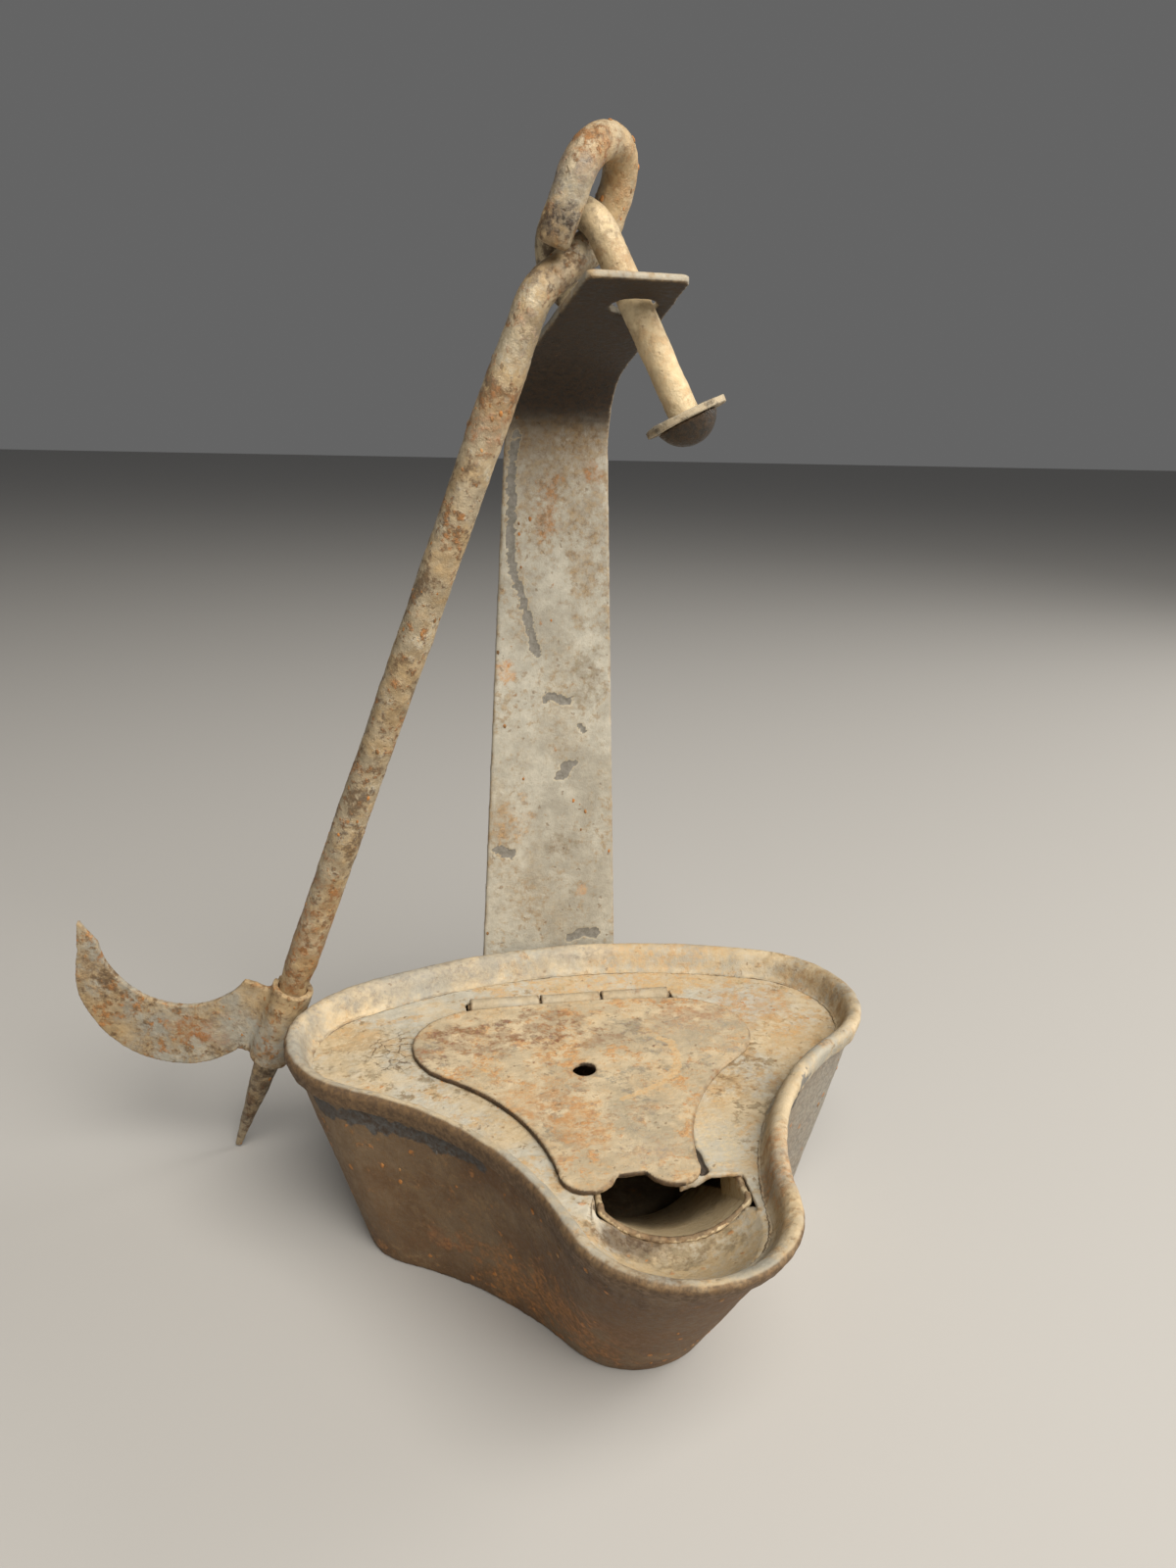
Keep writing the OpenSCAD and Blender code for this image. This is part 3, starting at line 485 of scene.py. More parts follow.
# Settings of the pieces, in millimetres: wave, dent and crust are the size and depth of a noise
wallSettings = {
    "name": "reservoirWallSheet", "node": "reservoir_wall", "slot": "grey_sheet", "grain": 0.54, "soften": 4,
    "wave": (18, 0.5), "dent": (5, 0.16), "crust": (1.4, 0.06),
    "flakesAndGapShades": [
        {"path": [(-45.5, 5, 29.6), (-40, 0.2, 29.9), (-35, -4.2, 29.6), (-29, -9.8, 30), (-24.5, -16, 30.2)],
         "radius": 1.9},
        {"path": [(30.2, -7.2, 28.5), (28, -11, 29.5)], "radius": 1.6},
    ],
    "look": {**sheetLook, "seed": 2, "base": ("wallBrown", "wallGrey"), "edgeTones": ("brown", "umber"),
             "layers": [layer("umber", "wallBrown", 14, 0.53, 0.5, 0.08),
                        layer("brown", "tan", 9, 0.56, 0.4, 0.06),
                        layer("orange", "brown", 3, 0.59, 0.8, 0.03)],
             "specks": [pits, {**rustSpecks, "size": 3.0, "share": 0.85}],
             "flakeAndGapShadeTones": ("brownDark", "slate"),
             "stainsAndPaintedLight": [stainAndPaintedLight("orange", "brown", (-17, -16, 8), (9, 9, 5), 0.85, 7.0),
                        stainAndPaintedLight("orange", "redBrown", (-27, -5.3, 9), (3, 3, 2), 0.8, 7.0),
                        stainAndPaintedLight("orange", "brown", (-11, -27, 9), (7, 7, 6), 0.85, 7.0),
                        stainAndPaintedLight("orange", "brown", (-8, -38, 14), (6, 7, 4), 0.6, 8.0),
                        # Painted light and shade: the grey stain lightens the right wall and the wall-grey
                        # stain lightens the left wall where light falls; the umber stain darkens the nose as
                        # painted shade
                        stainAndPaintedLight("grey", "greyMid", (42, 8, 20), (20, 30, 28), 0.9, 1.0, 0.9, 0.1),
                        stainAndPaintedLight("wallGrey", "brown", (-34, -2, 18), (16, 12, 12), 0.5, 3.0),
                        stainAndPaintedLight("umber", "wallBrown", (0, -42, 18), (16, 10, 18), 0.8, 2.0, 0.6, 0.3),
                        stainAndPaintedLight("umber", "brownDark", (-8, -38, 29), (14, 9, 3), 0.7)]},
}
bindingSettings = {
    "name": "rimBindingStrip", "node": "rim_binding", "slot": "grey_sheet", "grain": 0.3, "soften": 4,
    "wave": (12, 0.5), "dent": (4, 0.2), "crust": (1.2, 0.1),
    "flakesAndGapShades": [{"path": [(31, -8, 33.6), (29, -12.5, 33.4)], "radius": 1.5}],
    # Painted shade: the rim's outer faces towards the left front and at the nose are darkened brown and umber
    "soilAndShade": [{"facing": (-0.75, -0.66, -0.1), "turn": (-0.05, 0.45),
              "low": (-60, -60, 0), "high": (4, 22, 40)},
             {"facing": (0, -1, -0.1), "turn": (0.05, 0.5),
              "low": (-20, -60, 0), "high": (40, -30, 40)}],
    "look": {**sheetLook, "seed": 3, "base": ("grey", "clay"), "edgeTones": ("tan", "brownGrey"),
             "soilAndShadeTones": ("brown", "umber"), "flakeAndGapShadeTones": ("greyMid", "greyDark"),
             "layers": [layer("tan", "tanPale", 9, 0.52, 0.6, 0.07),
                        layer("brown", "orangePale", 4, 0.57, 0.6, 0.05),
                        layer("greyDark", "brownGrey", 5, 0.6, 0.6, 0.03, -0.2)],
             "stainsAndPaintedLight": [stainAndPaintedLight("orangePale", "tan", (20, 38, 34), (16, 5, 3), 0.5, 4.0),
                        stainAndPaintedLight("greyMid", "grey", (-24, 34, 34.4), (24, 9, 3), 0.75, 3.0, 0.5, 0.4),
                        stainAndPaintedLight("grey", "greyMid", (5, 39.5, 34.6), (7, 4, 1.4), 0.6, 2.0),
                        stainAndPaintedLight("greyMid", "grey", (-46, 12, 34.4), (9, 14, 3), 0.65, 3.0, 0.5, 0.4),
                        stainAndPaintedLight("brown", "orange", (17, -31, 34), (6, 9, 3), 0.6),
                        stainAndPaintedLight("brown", "umber", (-8, -48, 34.6), (7, 4, 2), 0.6),
                        stainAndPaintedLight("tan", "brown", (46, 16, 33.5), (7, 14, 3), 0.6)]},
}
lipSlices = {"front": -30, "right": 12, "step": 1.5}


# The trough's lip: in each slice across the lamp, the foremost of the highest corners
def lipPath():
    corners = readVectors(frame["nodes"]["wick_trough"].data.vertices, "co") / millimetre
    corners = corners[(corners[:, 1] < lipSlices["front"]) & (corners[:, 0] < lipSlices["right"])]
    slices = np.floor(corners[:, 0] / lipSlices["step"])
    path = []
    for part in np.unique(slices):
        inside = corners[slices == part].tolist()
        path.append(max(inside, key=lambda corner: (round(corner[2], 1), -corner[1])))
    return path


troughLip = lipPath()
# Where the dish's back edge runs, what is drawn up there, and how far at some places across the lamp
panRise = {
    "edge": -34.05, "slant": -0.105, "run": (3.2, 0), "below": (30.5, 29.8), "front": -30,
    "middle": 1, "half": (12, 11),
    "back": ((-8.5, -5.5, -2.5, 5, 8, 11), (1.9, 0.7, 0.2, 0.2, 0.8, 1.8)),
    "up": ((-8.5, -5.5, 2, 8), (1.1, 0.95, 0.6, 0.1)),
}


# The dish runs up behind its back edge to meet the trough's lip
def raisePan(place, normal, around):
    x, y, z = place.T
    backEdge = panRise["edge"] + panRise["slant"] * x
    share = smooth(backEdge - y, *panRise["run"]) * smooth(z, *panRise["below"])
    share = share * smooth(np.abs(x - panRise["middle"]), *panRise["half"]) * (y < panRise["front"])
    back = np.interp(x, *panRise["back"])
    up = np.interp(x, *panRise["up"])
    return place + np.stack([0 * x, share * back, share * up], 1)


deckTop = 30.8  # height of the deck's face
deckSettings = {
    "name": "deckSheet", "node": "deck", "slot": "rusted_sheet", "grain": 0.28, "soften": 3,
    "wave": (16, 0.5), "waveAxis": "Z", "dent": (5, 0.1), "crust": (1.2, 0.08), "shape": raisePan,
    "flakeDepth": 0.5,
    # Painted shade: these two bands sink a groove along the lid's right-front edge and paint it black as the
    # shade of a gap
    "flakesAndGapShades": [{"path": [(8.4, -16.5, deckTop), (7.6, -21, deckTop)], "radius": 0.6, "ragged": 0.15},
               {"path": [(7.6, -21, deckTop), (7.4, -25.5, deckTop)], "radius": 1.1, "ragged": 0.15}],
    # Painted shadow: a dark line on the deck along where the pan meets the trough's lip
    "traces": [{"path": troughLip, "radius": 0.7}],
    # The deck's flake tones, black and dark brown, are painted gap shade in that groove
    "look": {**sheetLook, "seed": 4, "base": ("clay", "greyPale"), "flakeAndGapShadeTones": ("black", "brownDark"),
             "layers": [layer("tan", "tanPale", 12, 0.52, 0.6, 0.08),
                        layer("orangePale", "tan", 6, 0.54, 0.7, 0.05),
                        layer("brown", "olive", 4, 0.57, 0.7, 0.03, -0.2)],
             "specks": [pits, rustSpecks],
             "cracks": [{**stainAndPaintedLight("umber", "brown", (-33, 16, deckTop), (4.5, 6, 3), 0.9, 2.0),
                         "size": 2.6, "width": 0.07}],
             "stainsAndPaintedLight": [stainAndPaintedLight("olive", "clayDark", (-36, 17, deckTop), (9, 7, 3), 0.5, 4.0),
                        stainAndPaintedLight("orangePale", "tanPale", (17, 33, deckTop), (24, 6, 3), 0.7, 4.0),
                        stainAndPaintedLight("orange", "tan", (33, 18, deckTop), (8, 6, 3), 0.5, 6.0),
                        stainAndPaintedLight("orangePale", "tan", (37, 7, deckTop), (6, 9, 3), 0.6, 5.0),
                        stainAndPaintedLight("cream", "greyPale", (12, -19, deckTop), (4.5, 7, 3), 0.75),
                        stainAndPaintedLight("brown", "tan", (24, -5, deckTop), (5, 6, 3), 0.5, 5.0),
                        stainAndPaintedLight("tanPale", "clay", (2, -42, 27), (14, 9, 8), 0.75),
                        stainAndPaintedLight("tanPale", "tan", (4, -40, 26), (15, 8, 6), 0.75, 3.0),
                        # Painted shade with some grime under the trough's lip: the dark brown stain on its
                        # left, the umber and olive one along it
                        stainAndPaintedLight("brownDark", "umber", (-5.5, -34, 27.5), (6, 2.4, 5), 0.95, 1.5, 0.5, 0.2),
                        stainAndPaintedLight("umber", "olive", (4, -36, 26), (8, 2.2, 3), 0.65, 6.0)]},
}
lidTop = 31.7  # height of the lid's face
lidSettings = {
    "name": "lidSheet", "node": "lid", "slot": "rusted_sheet", "grain": 0.26, "soften": 3,
    "wave": (16, 0.5), "waveAxis": "Z", "dent": (5, 0.1), "crust": (1.2, 0.09),
    "traces": [{"path": [(0.7, -7.1, lidTop), (4.4, -5.7, lidTop), (8.8, -3.7, lidTop), (11.6, -1.1, lidTop)],
                "radius": 0.5},
               {"path": [(11.6, -1.1, lidTop), (13.5, 3.8, lidTop), (13.7, 8.3, lidTop), (12.1, 9.7, lidTop)],
                "radius": 0.75}],
    # Painted shadow: the lid's side faces towards the left front are darkened black as the shadow line along
    # its edge
    "soilAndShade": [{"facing": (-0.7, -0.7, 0), "turn": (0.3, 0.7), **everywhere}],
    "look": {**sheetLook, "seed": 5, "base": ("clayDark", "clay"), "edgeTones": ("umber", "brown"),
             "soilAndShadeTones": ("black", "brownDark"),
             "traceTones": ("orangePale", "tanPale"), "broad": 9,
             "layers": [layer("tanPale", "orangePale", 8, 0.53, 0.6, 0.08, 0.15, 0.5),
                        layer("orange", "orangePale", 5, 0.55, 0.75, 0.04, 0.2, 0.55),
                        layer("greyMid", "olive", 6, 0.56, 0.7, 0.04, -0.2, 0.5),
                        layer("redBrown", "brown", 2.2, 0.63, 0.7, 0.03, 0.1, 0.3)],
             "specks": [pits, rustSpecks],
             "stainsAndPaintedLight": [stainAndPaintedLight("olive", "greyDark", (-11, -13.5, lidTop), (4.5, 4, 3), 0.5, 6.0),
                        stainAndPaintedLight("olive", "grey", (2.5, -11, lidTop), (5, 5, 3), 0.5, 5.0),
                        stainAndPaintedLight("grey", "clayDark", (20, 10, lidTop), (8, 7, 3), 0.6, 4.0),
                        stainAndPaintedLight("grey", "clayDark", (1.5, -20, lidTop), (6, 4, 3), 0.55, 4.0),
                        stainAndPaintedLight("orange", "orangePale", (-7.5, -13, lidTop), (3.4, 4.6, 3), 0.6, 7.0),
                        stainAndPaintedLight("orangePale", "orange", (-12.5, -5, lidTop), (5, 5.5, 3), 0.5, 7.0),
                        stainAndPaintedLight("orange", "redBrown", (21, 18, lidTop), (6, 3, 3), 0.45, 8.0),
                        stainAndPaintedLight("redBrown", "brown", (-20, 15, lidTop), (7, 4.5, 3), 0.5, 12.0),
                        stainAndPaintedLight("redBrown", "brown", (-9, 18, lidTop), (8, 3.5, 3), 0.5, 12.0),
                        stainAndPaintedLight("redBrown", "brown", (0, 12, lidTop), (6, 2.4, 3), 0.5, 12.0)]},
}
knuckleRoll = {"larger": 0.2, "reach": (2.4, 1.4)}


# Knuckles rolled a little looser round the pin than the leaf's own bend
def roundKnuckles(place, normal, around):
    hinge = joints["lid_hinge"]
    fromPin = place - np.array(hinge["pos_m"]) / millimetre
    run = np.array(hinge["axis"])
    across = fromPin - np.outer(fromPin @ run, run)
    reach = np.linalg.norm(across, axis=1)
    return place + across * (knuckleRoll["larger"] * smooth(reach, *knuckleRoll["reach"]))[:, None]


lidLeafSettings = {
    "name": "lidHingeLeafSheet", "node": "lid_hinge_leaf", "slot": "rusted_sheet", "grain": 0.13, "soften": 3,
    "wave": (16, 0.5), "waveAxis": "Z", "dent": (2, 0.05), "crust": (0.8, 0.04), "shape": roundKnuckles,
    "look": {**sheetLook, "seed": 6, "base": ("clayDark", "grey"), "specks": [],
             "edgeTones": ("brown", "umber")},
}
deckLeafSettings = {
    "name": "deckHingeLeafSheet", "node": "deck_hinge_leaf", "slot": "rusted_sheet", "grain": 0.14,
    "soften": 3, "wave": (16, 0.5), "waveAxis": "Z", "dent": (2, 0.05), "crust": (0.8, 0.05),
    "shape": roundKnuckles,
    "look": {**sheetLook, "seed": 7, "base": ("clayDark", "grey"), "edgeTones": ("brown", "umber")},
}
troughSettings = {
    "name": "wickTroughSheet", "node": "wick_trough", "slot": "rusted_sheet", "grain": 0.24, "soften": 3,
    "wave": (9, 0.2), "dent": (4, 0.08), "crust": (1.2, 0.04),
    "traces": [{"path": troughLip, "radius": 0.7}],
    "look": {**sheetLook, "seed": 8, "base": ("cream", "tanPale"), "edgeTones": ("brown", "umber"),
             "edgeWear": 1.0, "traceTones": ("brown", "umber"),
             # Painted shade: the umber stain darkens the trough's far left inside, under the lid
             "stainsAndPaintedLight": [stainAndPaintedLight("umber", "brownDark", (-9, -10, 10), (8, 8, 6), 0.8, 2.0),
                        stainAndPaintedLight("brown", "umber", (-3, -34, 26.6), (8, 1.2, 3), 0.8, 2.0),
                        # Painted light: the cream stain lightens the trough's inside near its lip, where
                        # light falls
                        stainAndPaintedLight("cream", "tanPale", (6, -28, 25), (6, 6, 5), 0.7)]},
}
strapFace = 42.7  # where the strap's front stands in depth


def onStrap(*spots):
    return [(across, strapFace, height) for across, height in spots]


strapSettings = {
    "name": "backStrapSheet", "node": "back_strap", "slot": "grey_sheet", "grain": 0.33, "soften": 3,
    "wave": (24, 0.6), "waveAxis": "Y", "dent": (6, 0.1), "crust": (1.3, 0.05),
    "flakesAndGapShades": [
        {"path": onStrap((-7.2, 134), (-7.9, 124), (-8, 116)), "radius": 0.85},
        {"path": onStrap((-8, 116), (-7.8, 109), (-5.8, 103), (-3.2, 93)), "radius": 0.8},
        {"path": onStrap((-1.2, 85), (3, 84.3)), "radius": 0.9},
        {"path": onStrap((2, 70), (3.4, 71.8)), "radius": 1.2},
        {"path": onStrap((-10.4, 55.6), (-7.8, 55)), "radius": 1.1},
        {"path": onStrap((4.2, 36.6), (6.4, 37.4), (9, 37)), "radius": 1.1, "ragged": 0.5},
        {"path": onStrap((5, 79.5), (6, 78.5)), "radius": 0.5},
    ],
    # Painted shade: downward faces, the flange's underside and the top of the bend, are darkened black
    "soilAndShade": [{"facing": (0, -0.35, -0.94), "turn": (0.45, 0.9), **everywhere}],
    "look": {**sheetLook, "seed": 9, "base": ("grey", "greyPale"), "edgeTones": ("brown", "tan"),
             "edgeWear": 0.9, "soilAndShadeTones": ("black", "brownDark"), "flakeAndGapShadeTones": ("greyMid", "greyDark"),
             "flakeLip": 0.3,
             "layers": [layer("clayDark", "brownGrey", 12, 0.55, 0.5, 0.08, 0.1, 0.45, (1, 1, 0.5)),
                        layer("brown", "tan", 6, 0.56, 0.5, 0.04, 0.1, 0.6, (1, 1, 0.4)),
                        layer("orange", "brown", 3.2, 0.63, 0.7, 0.03, 0.2, 0.4)],
             # Painted shadow: the first stain darkens the strap just under the flange as its shadow; the
             # second is partly brown rust, partly painted shadow of the flange
             "stainsAndPaintedLight": [stainAndPaintedLight("brown", "umber", (0, 42, 135), (14, 6, 10), 0.6, 1.5, 0.7, 0.3),
                        stainAndPaintedLight("brown", "tan", (0, strapFace, 124), (12, 4, 11), 0.55, 7.0),
                        stainAndPaintedLight("brown", "orange", (-1.4, strapFace, 119), (1.8, 3, 5), 0.6, 6.0),
                        stainAndPaintedLight("orange", "brown", (6.5, strapFace, 125), (1.6, 3, 2), 0.7, 6.0),
                        stainAndPaintedLight("brown", "tan", (5.4, strapFace, 108), (2.6, 3, 6), 0.55, 7.0),
                        stainAndPaintedLight("orange", "orangePale", (-9.2, strapFace, 89.8), (1.4, 3, 2), 0.9, 5.0),
                        stainAndPaintedLight("brown", "olive", (6.6, strapFace, 88), (2.2, 3, 5), 0.5, 7.0),
                        stainAndPaintedLight("brown", "orangePale", (-7.8, strapFace, 61), (3, 3, 4.5), 0.5, 7.0),
                        stainAndPaintedLight("olive", "brown", (1.1, strapFace, 56.5), (2.2, 3, 2.4), 0.5, 7.0),
                        stainAndPaintedLight("orange", "orangePale", (6.1, strapFace, 46.3), (0.9, 3, 1), 0.8, 3.0)]},
}
rivetSettings = {
    "name": "strapRivetHeads", "node": "strap_rivets", "slot": "dark_iron", "grain": 0.15, "soften": 3,
    "wave": (4, 0.12), "dent": (2, 0.08), "crust": (0.9, 0.06),
    "look": {**sheetLook, "seed": 10, "base": ("greyDark", "brown")},
}
downBolt = [-part for part in joints["washer_slide"]["axis"]]
boltSettings = {
    "name": "swivelBoltBar", "node": "swivel_bolt", "slot": "worn_iron", "grain": 0.2, "soften": 3,
    "wave": (7, 0.3), "dent": (2.5, 0.14), "crust": (0.9, 0.07),
    "soilAndShade": [{"beyond": (9.1, 2.6, 134), "run": downBolt, **everywhere}],
    "look": {**sheetLook, "seed": 11, "base": ("tanPale", "cream"), "metal": 0.2, "roughness": (0.35, 0.7),
             "specular": 0.4, "soilAndShadeTones": ("black", "brownDark"), "edgeTones": ("brown", "umber"),
             "layers": [layer("tan", "clay", 6, 0.55, 0.6, 0.06),
                        layer("brown", "orangePale", 3, 0.61, 0.5, 0.04)],
             "stainsAndPaintedLight": [stainAndPaintedLight("clay", "brownGrey", (-2, 8, 157), (9, 11, 8), 0.85, 3.0),
                        stainAndPaintedLight("brown", "orangePale", (0, 5.5, 152.5), (3, 4, 4), 0.5, 6.0),
                        # Painted shade: the dark brown stain darkens the far left of the bolt's eye, behind
                        # the rod
                        stainAndPaintedLight("brownDark", "umber", (-9, 14, 153), (5, 7, 9), 0.85, 1.5),
                        stainAndPaintedLight("brown", "tan", (3.2, 4, 145.5), (4, 4, 2.4), 0.5, 5.0),
                        stainAndPaintedLight("tan", "orangePale", (6, 3, 140), (5, 5, 6), 0.4, 4.0)]},
}
washerSettings = {
    "name": "swivelWasherDisc", "node": "swivel_washer", "slot": "dark_iron", "grain": 0.16, "soften": 2,
    "wave": (7, 0.5), "dent": (2.5, 0.15), "crust": (0.9, 0.08),
    "look": {**sheetLook, "seed": 12, "base": ("clayDark", "brownGrey"), "edgeTones": ("grey", "clayDark"),
             "layers": [layer("black", "brownDark", 3, 0.53, 0.7)], "edgeWear": 0.6},
}
rodWear = {"thicker": 0.24, "collar": (37, 42), "shoulder": (144, 138),
           "loopEnd": (-9.3, 6.2, 154.9), "reach": (4.4, 2.8), "share": 0.8, "passes": 24}


# The bar is thicker between collar and shoulder, and the loop's cut end is worn round
def wearRod(place, normal, around):
    z = place[:, 2]
    swell = rodWear["thicker"] * smooth(z, *rodWear["collar"]) * smooth(z, *rodWear["shoulder"])
    place = place + normal * swell[:, None]
    fromEnd = np.linalg.norm(place - np.array(rodWear["loopEnd"]), axis=1)
    worn = rodWear["share"] * smooth(fromEnd, *rodWear["reach"])
    return relax(place, around, worn, rodWear["passes"])


rodSettings = {
    "name": "hangerRodBar", "node": "hanger_rod", "slot": "worn_iron", "grain": 0.26, "soften": 4,
    "wave": (9, 0.35), "dent": (3, 0.22), "crust": (1.1, 0.12), "shape": wearRod,
    "look": {**sheetLook, "seed": 13, "broad": 8, "base": ("tan", "clayDark"), "mottle": 0.3, "metal": 0.3,
             "roughness": (0.32, 0.72), "specular": 0.5, "bump": 0.9,
             "layers": [layer("cream", "greyPale", 6, 0.54, 0.75, 0.05, 0.1, 0.5),
                        layer("brown", "umber", 5, 0.54, 0.8, 0.04, 0.1, 0.55),
                        layer("orange", "brown", 4, 0.56, 0.75, 0.04, 0.2, 0.55)],
             "stainsAndPaintedLight": [stainAndPaintedLight("brown", "orange", (-16.5, 9, 134), (4, 4, 5), 0.55, 7.0),
                        stainAndPaintedLight("brown", "orange", (-46, 29, 46), (5, 5, 12), 0.6, 7.0),
                        stainAndPaintedLight("umber", "brownDark", (-57, 36, 12), (6, 6, 14), 0.7, 3.0),
                        stainAndPaintedLight("brown", "orange", (-6, 5.5, 166), (4, 4, 4), 0.65, 7.0),
                        stainAndPaintedLight("greyMid", "grey", (-7.5, 4, 161.5), (4, 4, 3.6), 0.65, 6.0),
                        stainAndPaintedLight("umber", "brown", (-2.5, 9, 169), (4, 4, 3), 0.6, 7.0),
                        stainAndPaintedLight("black", "umber", (-8.9, 3.5, 157.6), (2.6, 3.4, 2.4), 0.9, 4.0),
                        stainAndPaintedLight("brown", "umber", (-7, 10, 150), (5, 6, 5), 0.65, 7.0),
                        stainAndPaintedLight("orangePale", "brown", (-9.6, 4.5, 153.6), (3, 3, 1.8), 0.7, 4.0),
                        stainAndPaintedLight("greyPale", "cream", (-12, 8, 144), (4, 4, 6), 0.5, 6.0),
                        stainAndPaintedLight("tanPale", "orangePale", (1.5, 9, 164), (4, 4, 7), 0.6, 3.0)]},
}
hookBlend = {
    "wider": ((0.4, (29, 36)), (0.7, (39.5, 45))), "outside": (-81.2, -83.8), "tip": (44, 50), "tipRise": 0.6,
    "seam": [(-55.3, 33.6, 24.6), (-54.6, 32.8, 34.6)], "reach": (3.0, 1.4), "share": 0.8, "passes": 60,
}


# The blade runs smoothly into its collar, and its tip is a little wider on the outer side
def blendHook(place, normal, around):
    x, z = place[:, 0], place[:, 2]
    outer = sum(wider * smooth(z, *heights) for wider, heights in hookBlend["wider"])
    outer = outer * smooth(x, *hookBlend["outside"])
    tip = smooth(z, *hookBlend["tip"])
    place = place - np.stack([np.maximum(outer, tip), 0 * x, -hookBlend["tipRise"] * tip], 1)
    blended = hookBlend["share"] * smooth(pathDistance(place, hookBlend["seam"]), *hookBlend["reach"])
    return relax(place, around, blended, hookBlend["passes"])


hookSettings = {
    "name": "hookSheet", "node": "hook", "slot": "worn_iron", "grain": 0.21, "soften": 3,
    "wave": (8, 0.3), "dent": (3, 0.15), "crust": (1.1, 0.09), "shape": blendHook,
    "look": {**sheetLook, "seed": 14, "base": ("grey", "tan"), "edgeTones": ("tan", "brown"), "mottle": 0.25,
             "layers": [layer("clay", "grey", 7, 0.57, 0.6, 0.07),
                        layer("tan", "brown", 6, 0.52, 0.8, 0.06),
                        layer("brown", "umber", 4, 0.56, 0.7, 0.04),
                        layer("orange", "brown", 3, 0.56, 0.8, 0.04)],
             "stainsAndPaintedLight": [stainAndPaintedLight("redBrown", "orange", (-66, 37, 27), (3.5, 4, 2.5), 0.6, 7.0),
                        stainAndPaintedLight("greyPale", "grey", (-60, 35.5, 28), (4, 4, 4), 0.5, 5.0)]},
}
grainSettings = {
    "reservoirWallSheet": {"density": 0.05, "smallest": 0.12, "largest": 0.42, "seed": 3},
    "backStrapSheet": {"density": 0.035, "smallest": 0.1, "largest": 0.3, "seed": 5},
    "hangerRodBar": {"density": 0.12, "smallest": 0.1, "largest": 0.34, "seed": 7},
    "hookSheet": {"density": 0.06, "smallest": 0.1, "largest": 0.3, "seed": 9},
}


# Length and height of a rust grain in its radius, its roughness in millimetres, and the noises' scales
grainShape = {"long": 1.5, "flat": 0.4, "rough": 0.3, "roughScale": 2500.0,
              "patch": {"Scale": 110.0, "Detail": 3.0}, "patchLine": (0.48, 0.66)}
grainInputs = {"Surface": "Geometry", "Density": "Float", "Smallest": "Float", "Largest": "Float",
               "Seed": "Int", "Rust": "Material"}


# One tree that sows flat rust grains over a surface, thicker in some places than in others
def rustGrainTree():
    tree = bpy.data.node_groups.new("rustGrains", "GeometryNodeTree")
    for label, kind in grainInputs.items():
        tree.interface.new_socket(label, in_out="INPUT", socket_type="NodeSocket" + kind)
    tree.interface.new_socket("Grains", in_out="OUTPUT", socket_type="NodeSocketGeometry")
    given = newNode(tree, "NodeGroupInput", {}).outputs
    place = newNode(tree, "GeometryNodeInputPosition", {}).outputs[0]
    patchy = newNode(tree, "ShaderNodeTexNoise", {"Vector": place, **grainShape["patch"]}).outputs["Fac"]
    density = mathOf(tree, "MULTIPLY", given["Density"], rangeOf(tree, patchy, *grainShape["patchLine"]))
    sown = newNode(tree, "GeometryNodeDistributePointsOnFaces",
                   {"Mesh": given["Surface"], "Density": density, "Seed": given["Seed"]}).outputs
    grain = newNode(tree, "GeometryNodeMeshIcoSphere", {"Radius": 1.0, "Subdivisions": 2}).outputs["Mesh"]
    size = newNode(tree, "FunctionNodeRandomValue",
                   {2: given["Smallest"], 3: given["Largest"], 8: given["Seed"]}).outputs[1]
    long = mathOf(tree, "MULTIPLY", size, grainShape["long"])
    flat = mathOf(tree, "MULTIPLY", size, grainShape["flat"])
    scale = newNode(tree, "ShaderNodeCombineXYZ", {0: size, 1: long, 2: flat}).outputs[0]
    placed = newNode(tree, "GeometryNodeInstanceOnPoints",
                     {"Points": sown["Points"], "Instance": grain, "Rotation": sown["Rotation"],
                      "Scale": scale}).outputs[0]
    real = newNode(tree, "GeometryNodeRealizeInstances", {"Geometry": placed}).outputs[0]
    rough = newNode(tree, "ShaderNodeTexNoise", {"Vector": place, "Scale": grainShape["roughScale"]})
    offset = vectorOf(tree, "SUBTRACT", {0: rough.outputs["Color"], 1: (0.5, 0.5, 0.5)})[0]
    offset = vectorOf(tree, "SCALE", {0: offset, "Scale": grainShape["rough"] * millimetre})[0]
    moved = newNode(tree, "GeometryNodeSetPosition", {"Geometry": real, "Offset": offset}).outputs[0]
    dressed = newNode(tree, "GeometryNodeSetMaterial", {"Geometry": moved, "Material": given["Rust"]})
    newNode(tree, "NodeGroupOutput", {0: dressed.outputs[0]})
    return tree


grainTree = rustGrainTree()
grainLook = {**sheetLook, "seed": 21, "base": ("brown", "orange"), "broad": 3, "specks": [],
             "layers": [layer("orangePale", "orange", 4, 0.54, 0.6)]}
grainRust = agedIron("rustGrainIron", grainLook)


# Rust grains standing on a finished piece, as a piece of their own on the same body
def sowGrains(piece, settings, body, slot):
    grains = bpy.data.objects.new(piece.name + "Rust", piece.data)
    scene.collection.objects.link(grains)
    sower = grains.modifiers.new("sower", "NODES")
    sower.node_group = grainTree
    values = {"Density": settings["density"] / millimetre ** 2, "Smallest": settings["smallest"] * millimetre,
              "Largest": settings["largest"] * millimetre, "Seed": settings["seed"], "Rust": grainRust}
    for item in grainTree.interface.items_tree:
        if item.name in values:
            sower[item.identifier] = values[item.name]
    graph = bpy.context.evaluated_depsgraph_get()
    mesh = bpy.data.meshes.new_from_object(grains.evaluated_get(graph))
    grains.modifiers.clear()
    grains.data = mesh
    mesh.shade_smooth()
    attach(grains, body)
    print("piece:", grains.name, len(mesh.polygons), "faces")


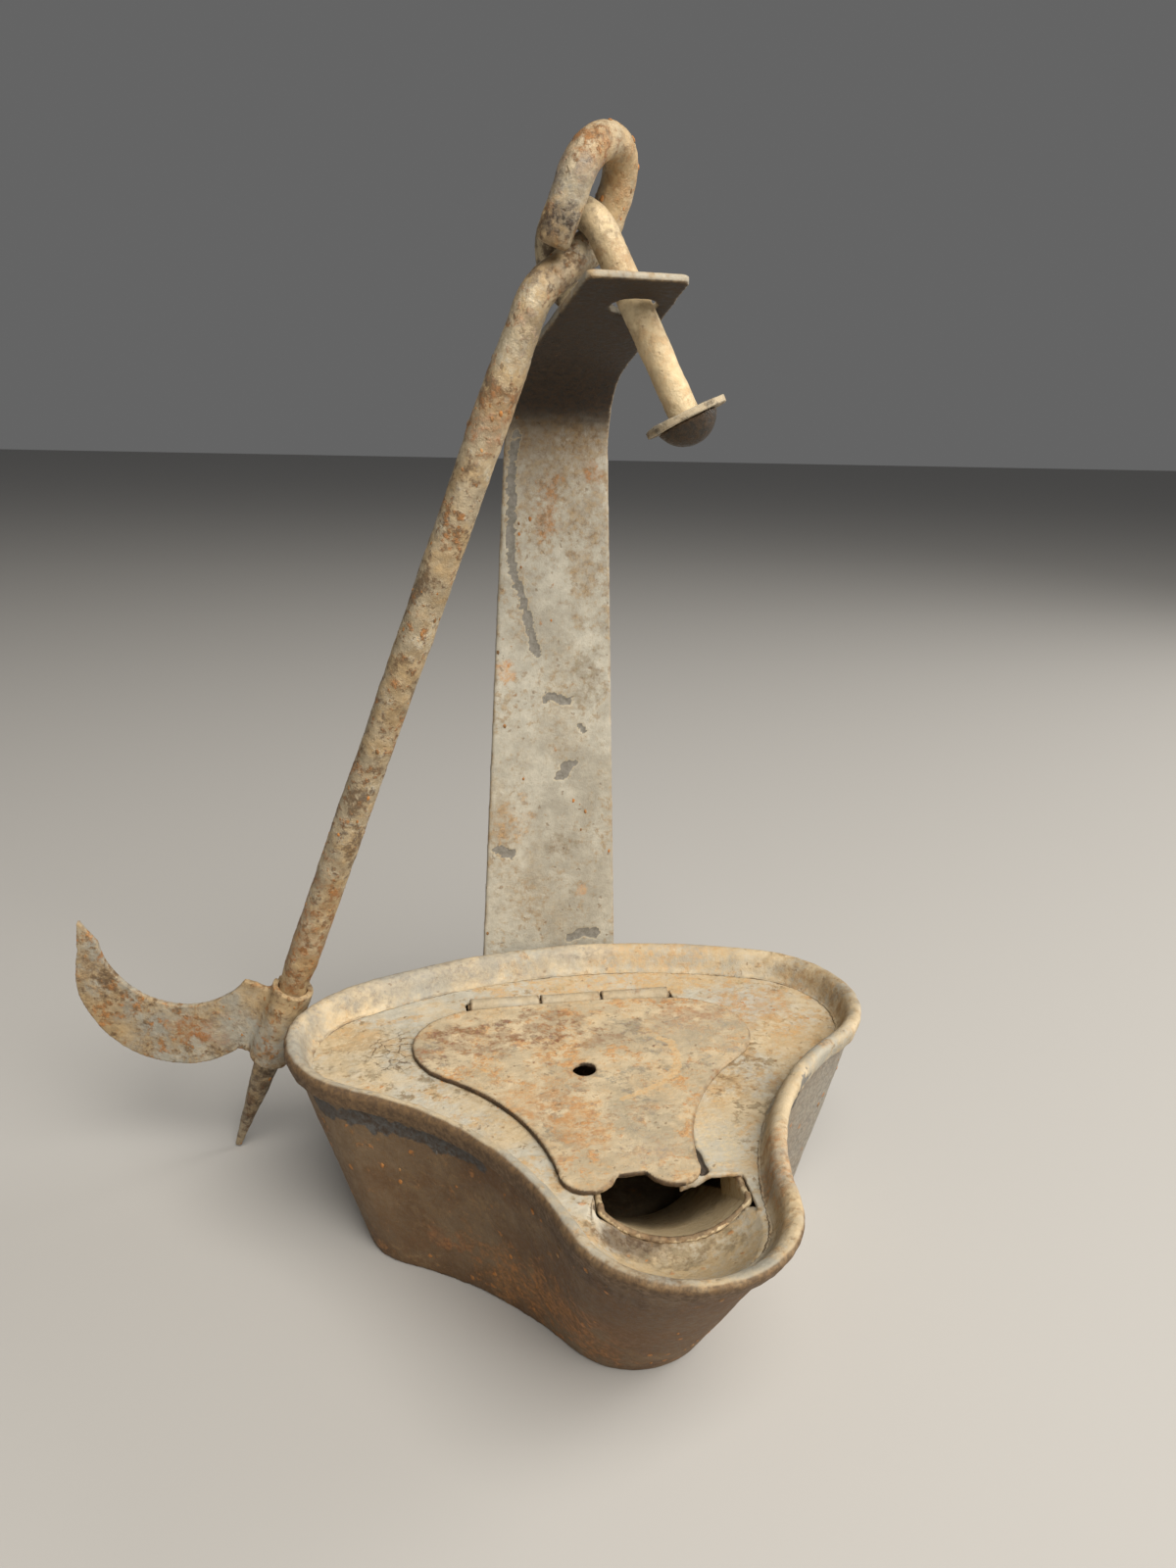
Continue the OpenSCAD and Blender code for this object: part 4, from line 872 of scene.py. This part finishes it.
for settings in (wallSettings, bindingSettings, deckSettings, lidSettings, lidLeafSettings, deckLeafSettings,
                 troughSettings, strapSettings, rivetSettings, boltSettings, washerSettings, rodSettings,
                 hookSettings):
    piece = handMade(settings)
    if piece.name in grainSettings:
        body = frame["nodes"][settings["node"]]["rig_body"]
        sowGrains(piece, grainSettings[piece.name], body, settings["slot"])
print("stage: hand-made pieces")

# The floor plate and the hinge pin keep their CAD shape
plainNodes = {
    "reservoir_floor": {"slot": "grey_sheet",
                        "look": {**sheetLook, "seed": 15, "base": ("brownGrey", "umber")}},
    "hinge_pin": {"slot": "dark_iron", "look": {**sheetLook, "seed": 16, "base": ("greyDark", "brown")}},
}
for nodeName, settings in plainNodes.items():
    node = frame["nodes"][nodeName]
    node.data.materials.clear()
    node.data.materials.append(agedIron(nodeName + "Iron", settings["look"]))
print("stage: plain nodes")

stageSettings = {
    "floorHalf": 6.0, "floorTone": (0.42, 0.41, 0.395, 1.0), "floorRoughness": 0.8,
    "worldTone": (0.8, 0.8, 0.8, 1.0), "worldStrength": 0.16,
}
reach = stageSettings["floorHalf"]
floorCorners = [(-reach, -reach, 0), (reach, -reach, 0), (reach, reach, 0), (-reach, reach, 0)]
floorMesh = bpy.data.meshes.new("stageFloor")
floorMesh.from_pydata(floorCorners, [], [(0, 1, 2, 3)])
floorPiece = bpy.data.objects.new("stageFloor", floorMesh)
scene.collection.objects.link(floorPiece)
floorMaterial = bpy.data.materials.new("stageFloor")
floorMaterial.use_nodes = True
floorShader = floorMaterial.node_tree.nodes["Principled BSDF"]
floorShader.inputs["Base Color"].default_value = stageSettings["floorTone"]
floorShader.inputs["Roughness"].default_value = stageSettings["floorRoughness"]
floorMesh.materials.append(floorMaterial)

world = bpy.data.worlds.new("studio")
world.use_nodes = True
background = world.node_tree.nodes["Background"]
background.inputs["Color"].default_value = stageSettings["worldTone"]
background.inputs["Strength"].default_value = stageSettings["worldStrength"]
scene.world = world

# Large soft lamps: place, aim and size in metres, power in watts
lampSettings = [
    {"name": "keyLamp", "place": (0.2, -0.62, 0.8), "aim": (0, 0.02, 0.06), "size": 0.9, "power": 20.0,
     "tone": (1.0, 0.95, 0.87)},
    {"name": "sideLamp", "place": (0.8, 0.1, 0.35), "aim": (0, 0, 0.06), "size": 0.4, "power": 3.0,
     "tone": (1.0, 0.96, 0.9)},
]
for settings in lampSettings:
    lamp = bpy.data.lights.new(settings["name"], "AREA")
    lamp.size = settings["size"]
    lamp.energy = settings["power"]
    lamp.color = settings["tone"]
    lampPiece = bpy.data.objects.new(settings["name"], lamp)
    scene.collection.objects.link(lampPiece)
    lampPiece.location = settings["place"]
    aim = Vector(settings["aim"]) - Vector(settings["place"])
    lampPiece.rotation_euler = aim.to_track_quat("-Z", "Y").to_euler()
print("stage: floor and lamps")

# The photograph's view: place and nearest seen in metres, turn in degrees, focal length for a 36 mm long side
cameraSettings = {"place": (-0.04481, -0.15475, 0.13122), "turn": (72.78, -1.32, -14.28), "lens": 25.875,
                  "nearest": 0.005}
camera = bpy.data.cameras.new("photoView")
camera.lens = cameraSettings["lens"]
camera.clip_start = cameraSettings["nearest"]
cameraPiece = bpy.data.objects.new("photoView", camera)
scene.collection.objects.link(cameraPiece)
cameraPiece.location = cameraSettings["place"]
cameraPiece.rotation_euler = Euler([math.radians(angle) for angle in cameraSettings["turn"]])
scene.camera = cameraPiece
scene.view_settings.view_transform = "Standard"
print("stage: camera")
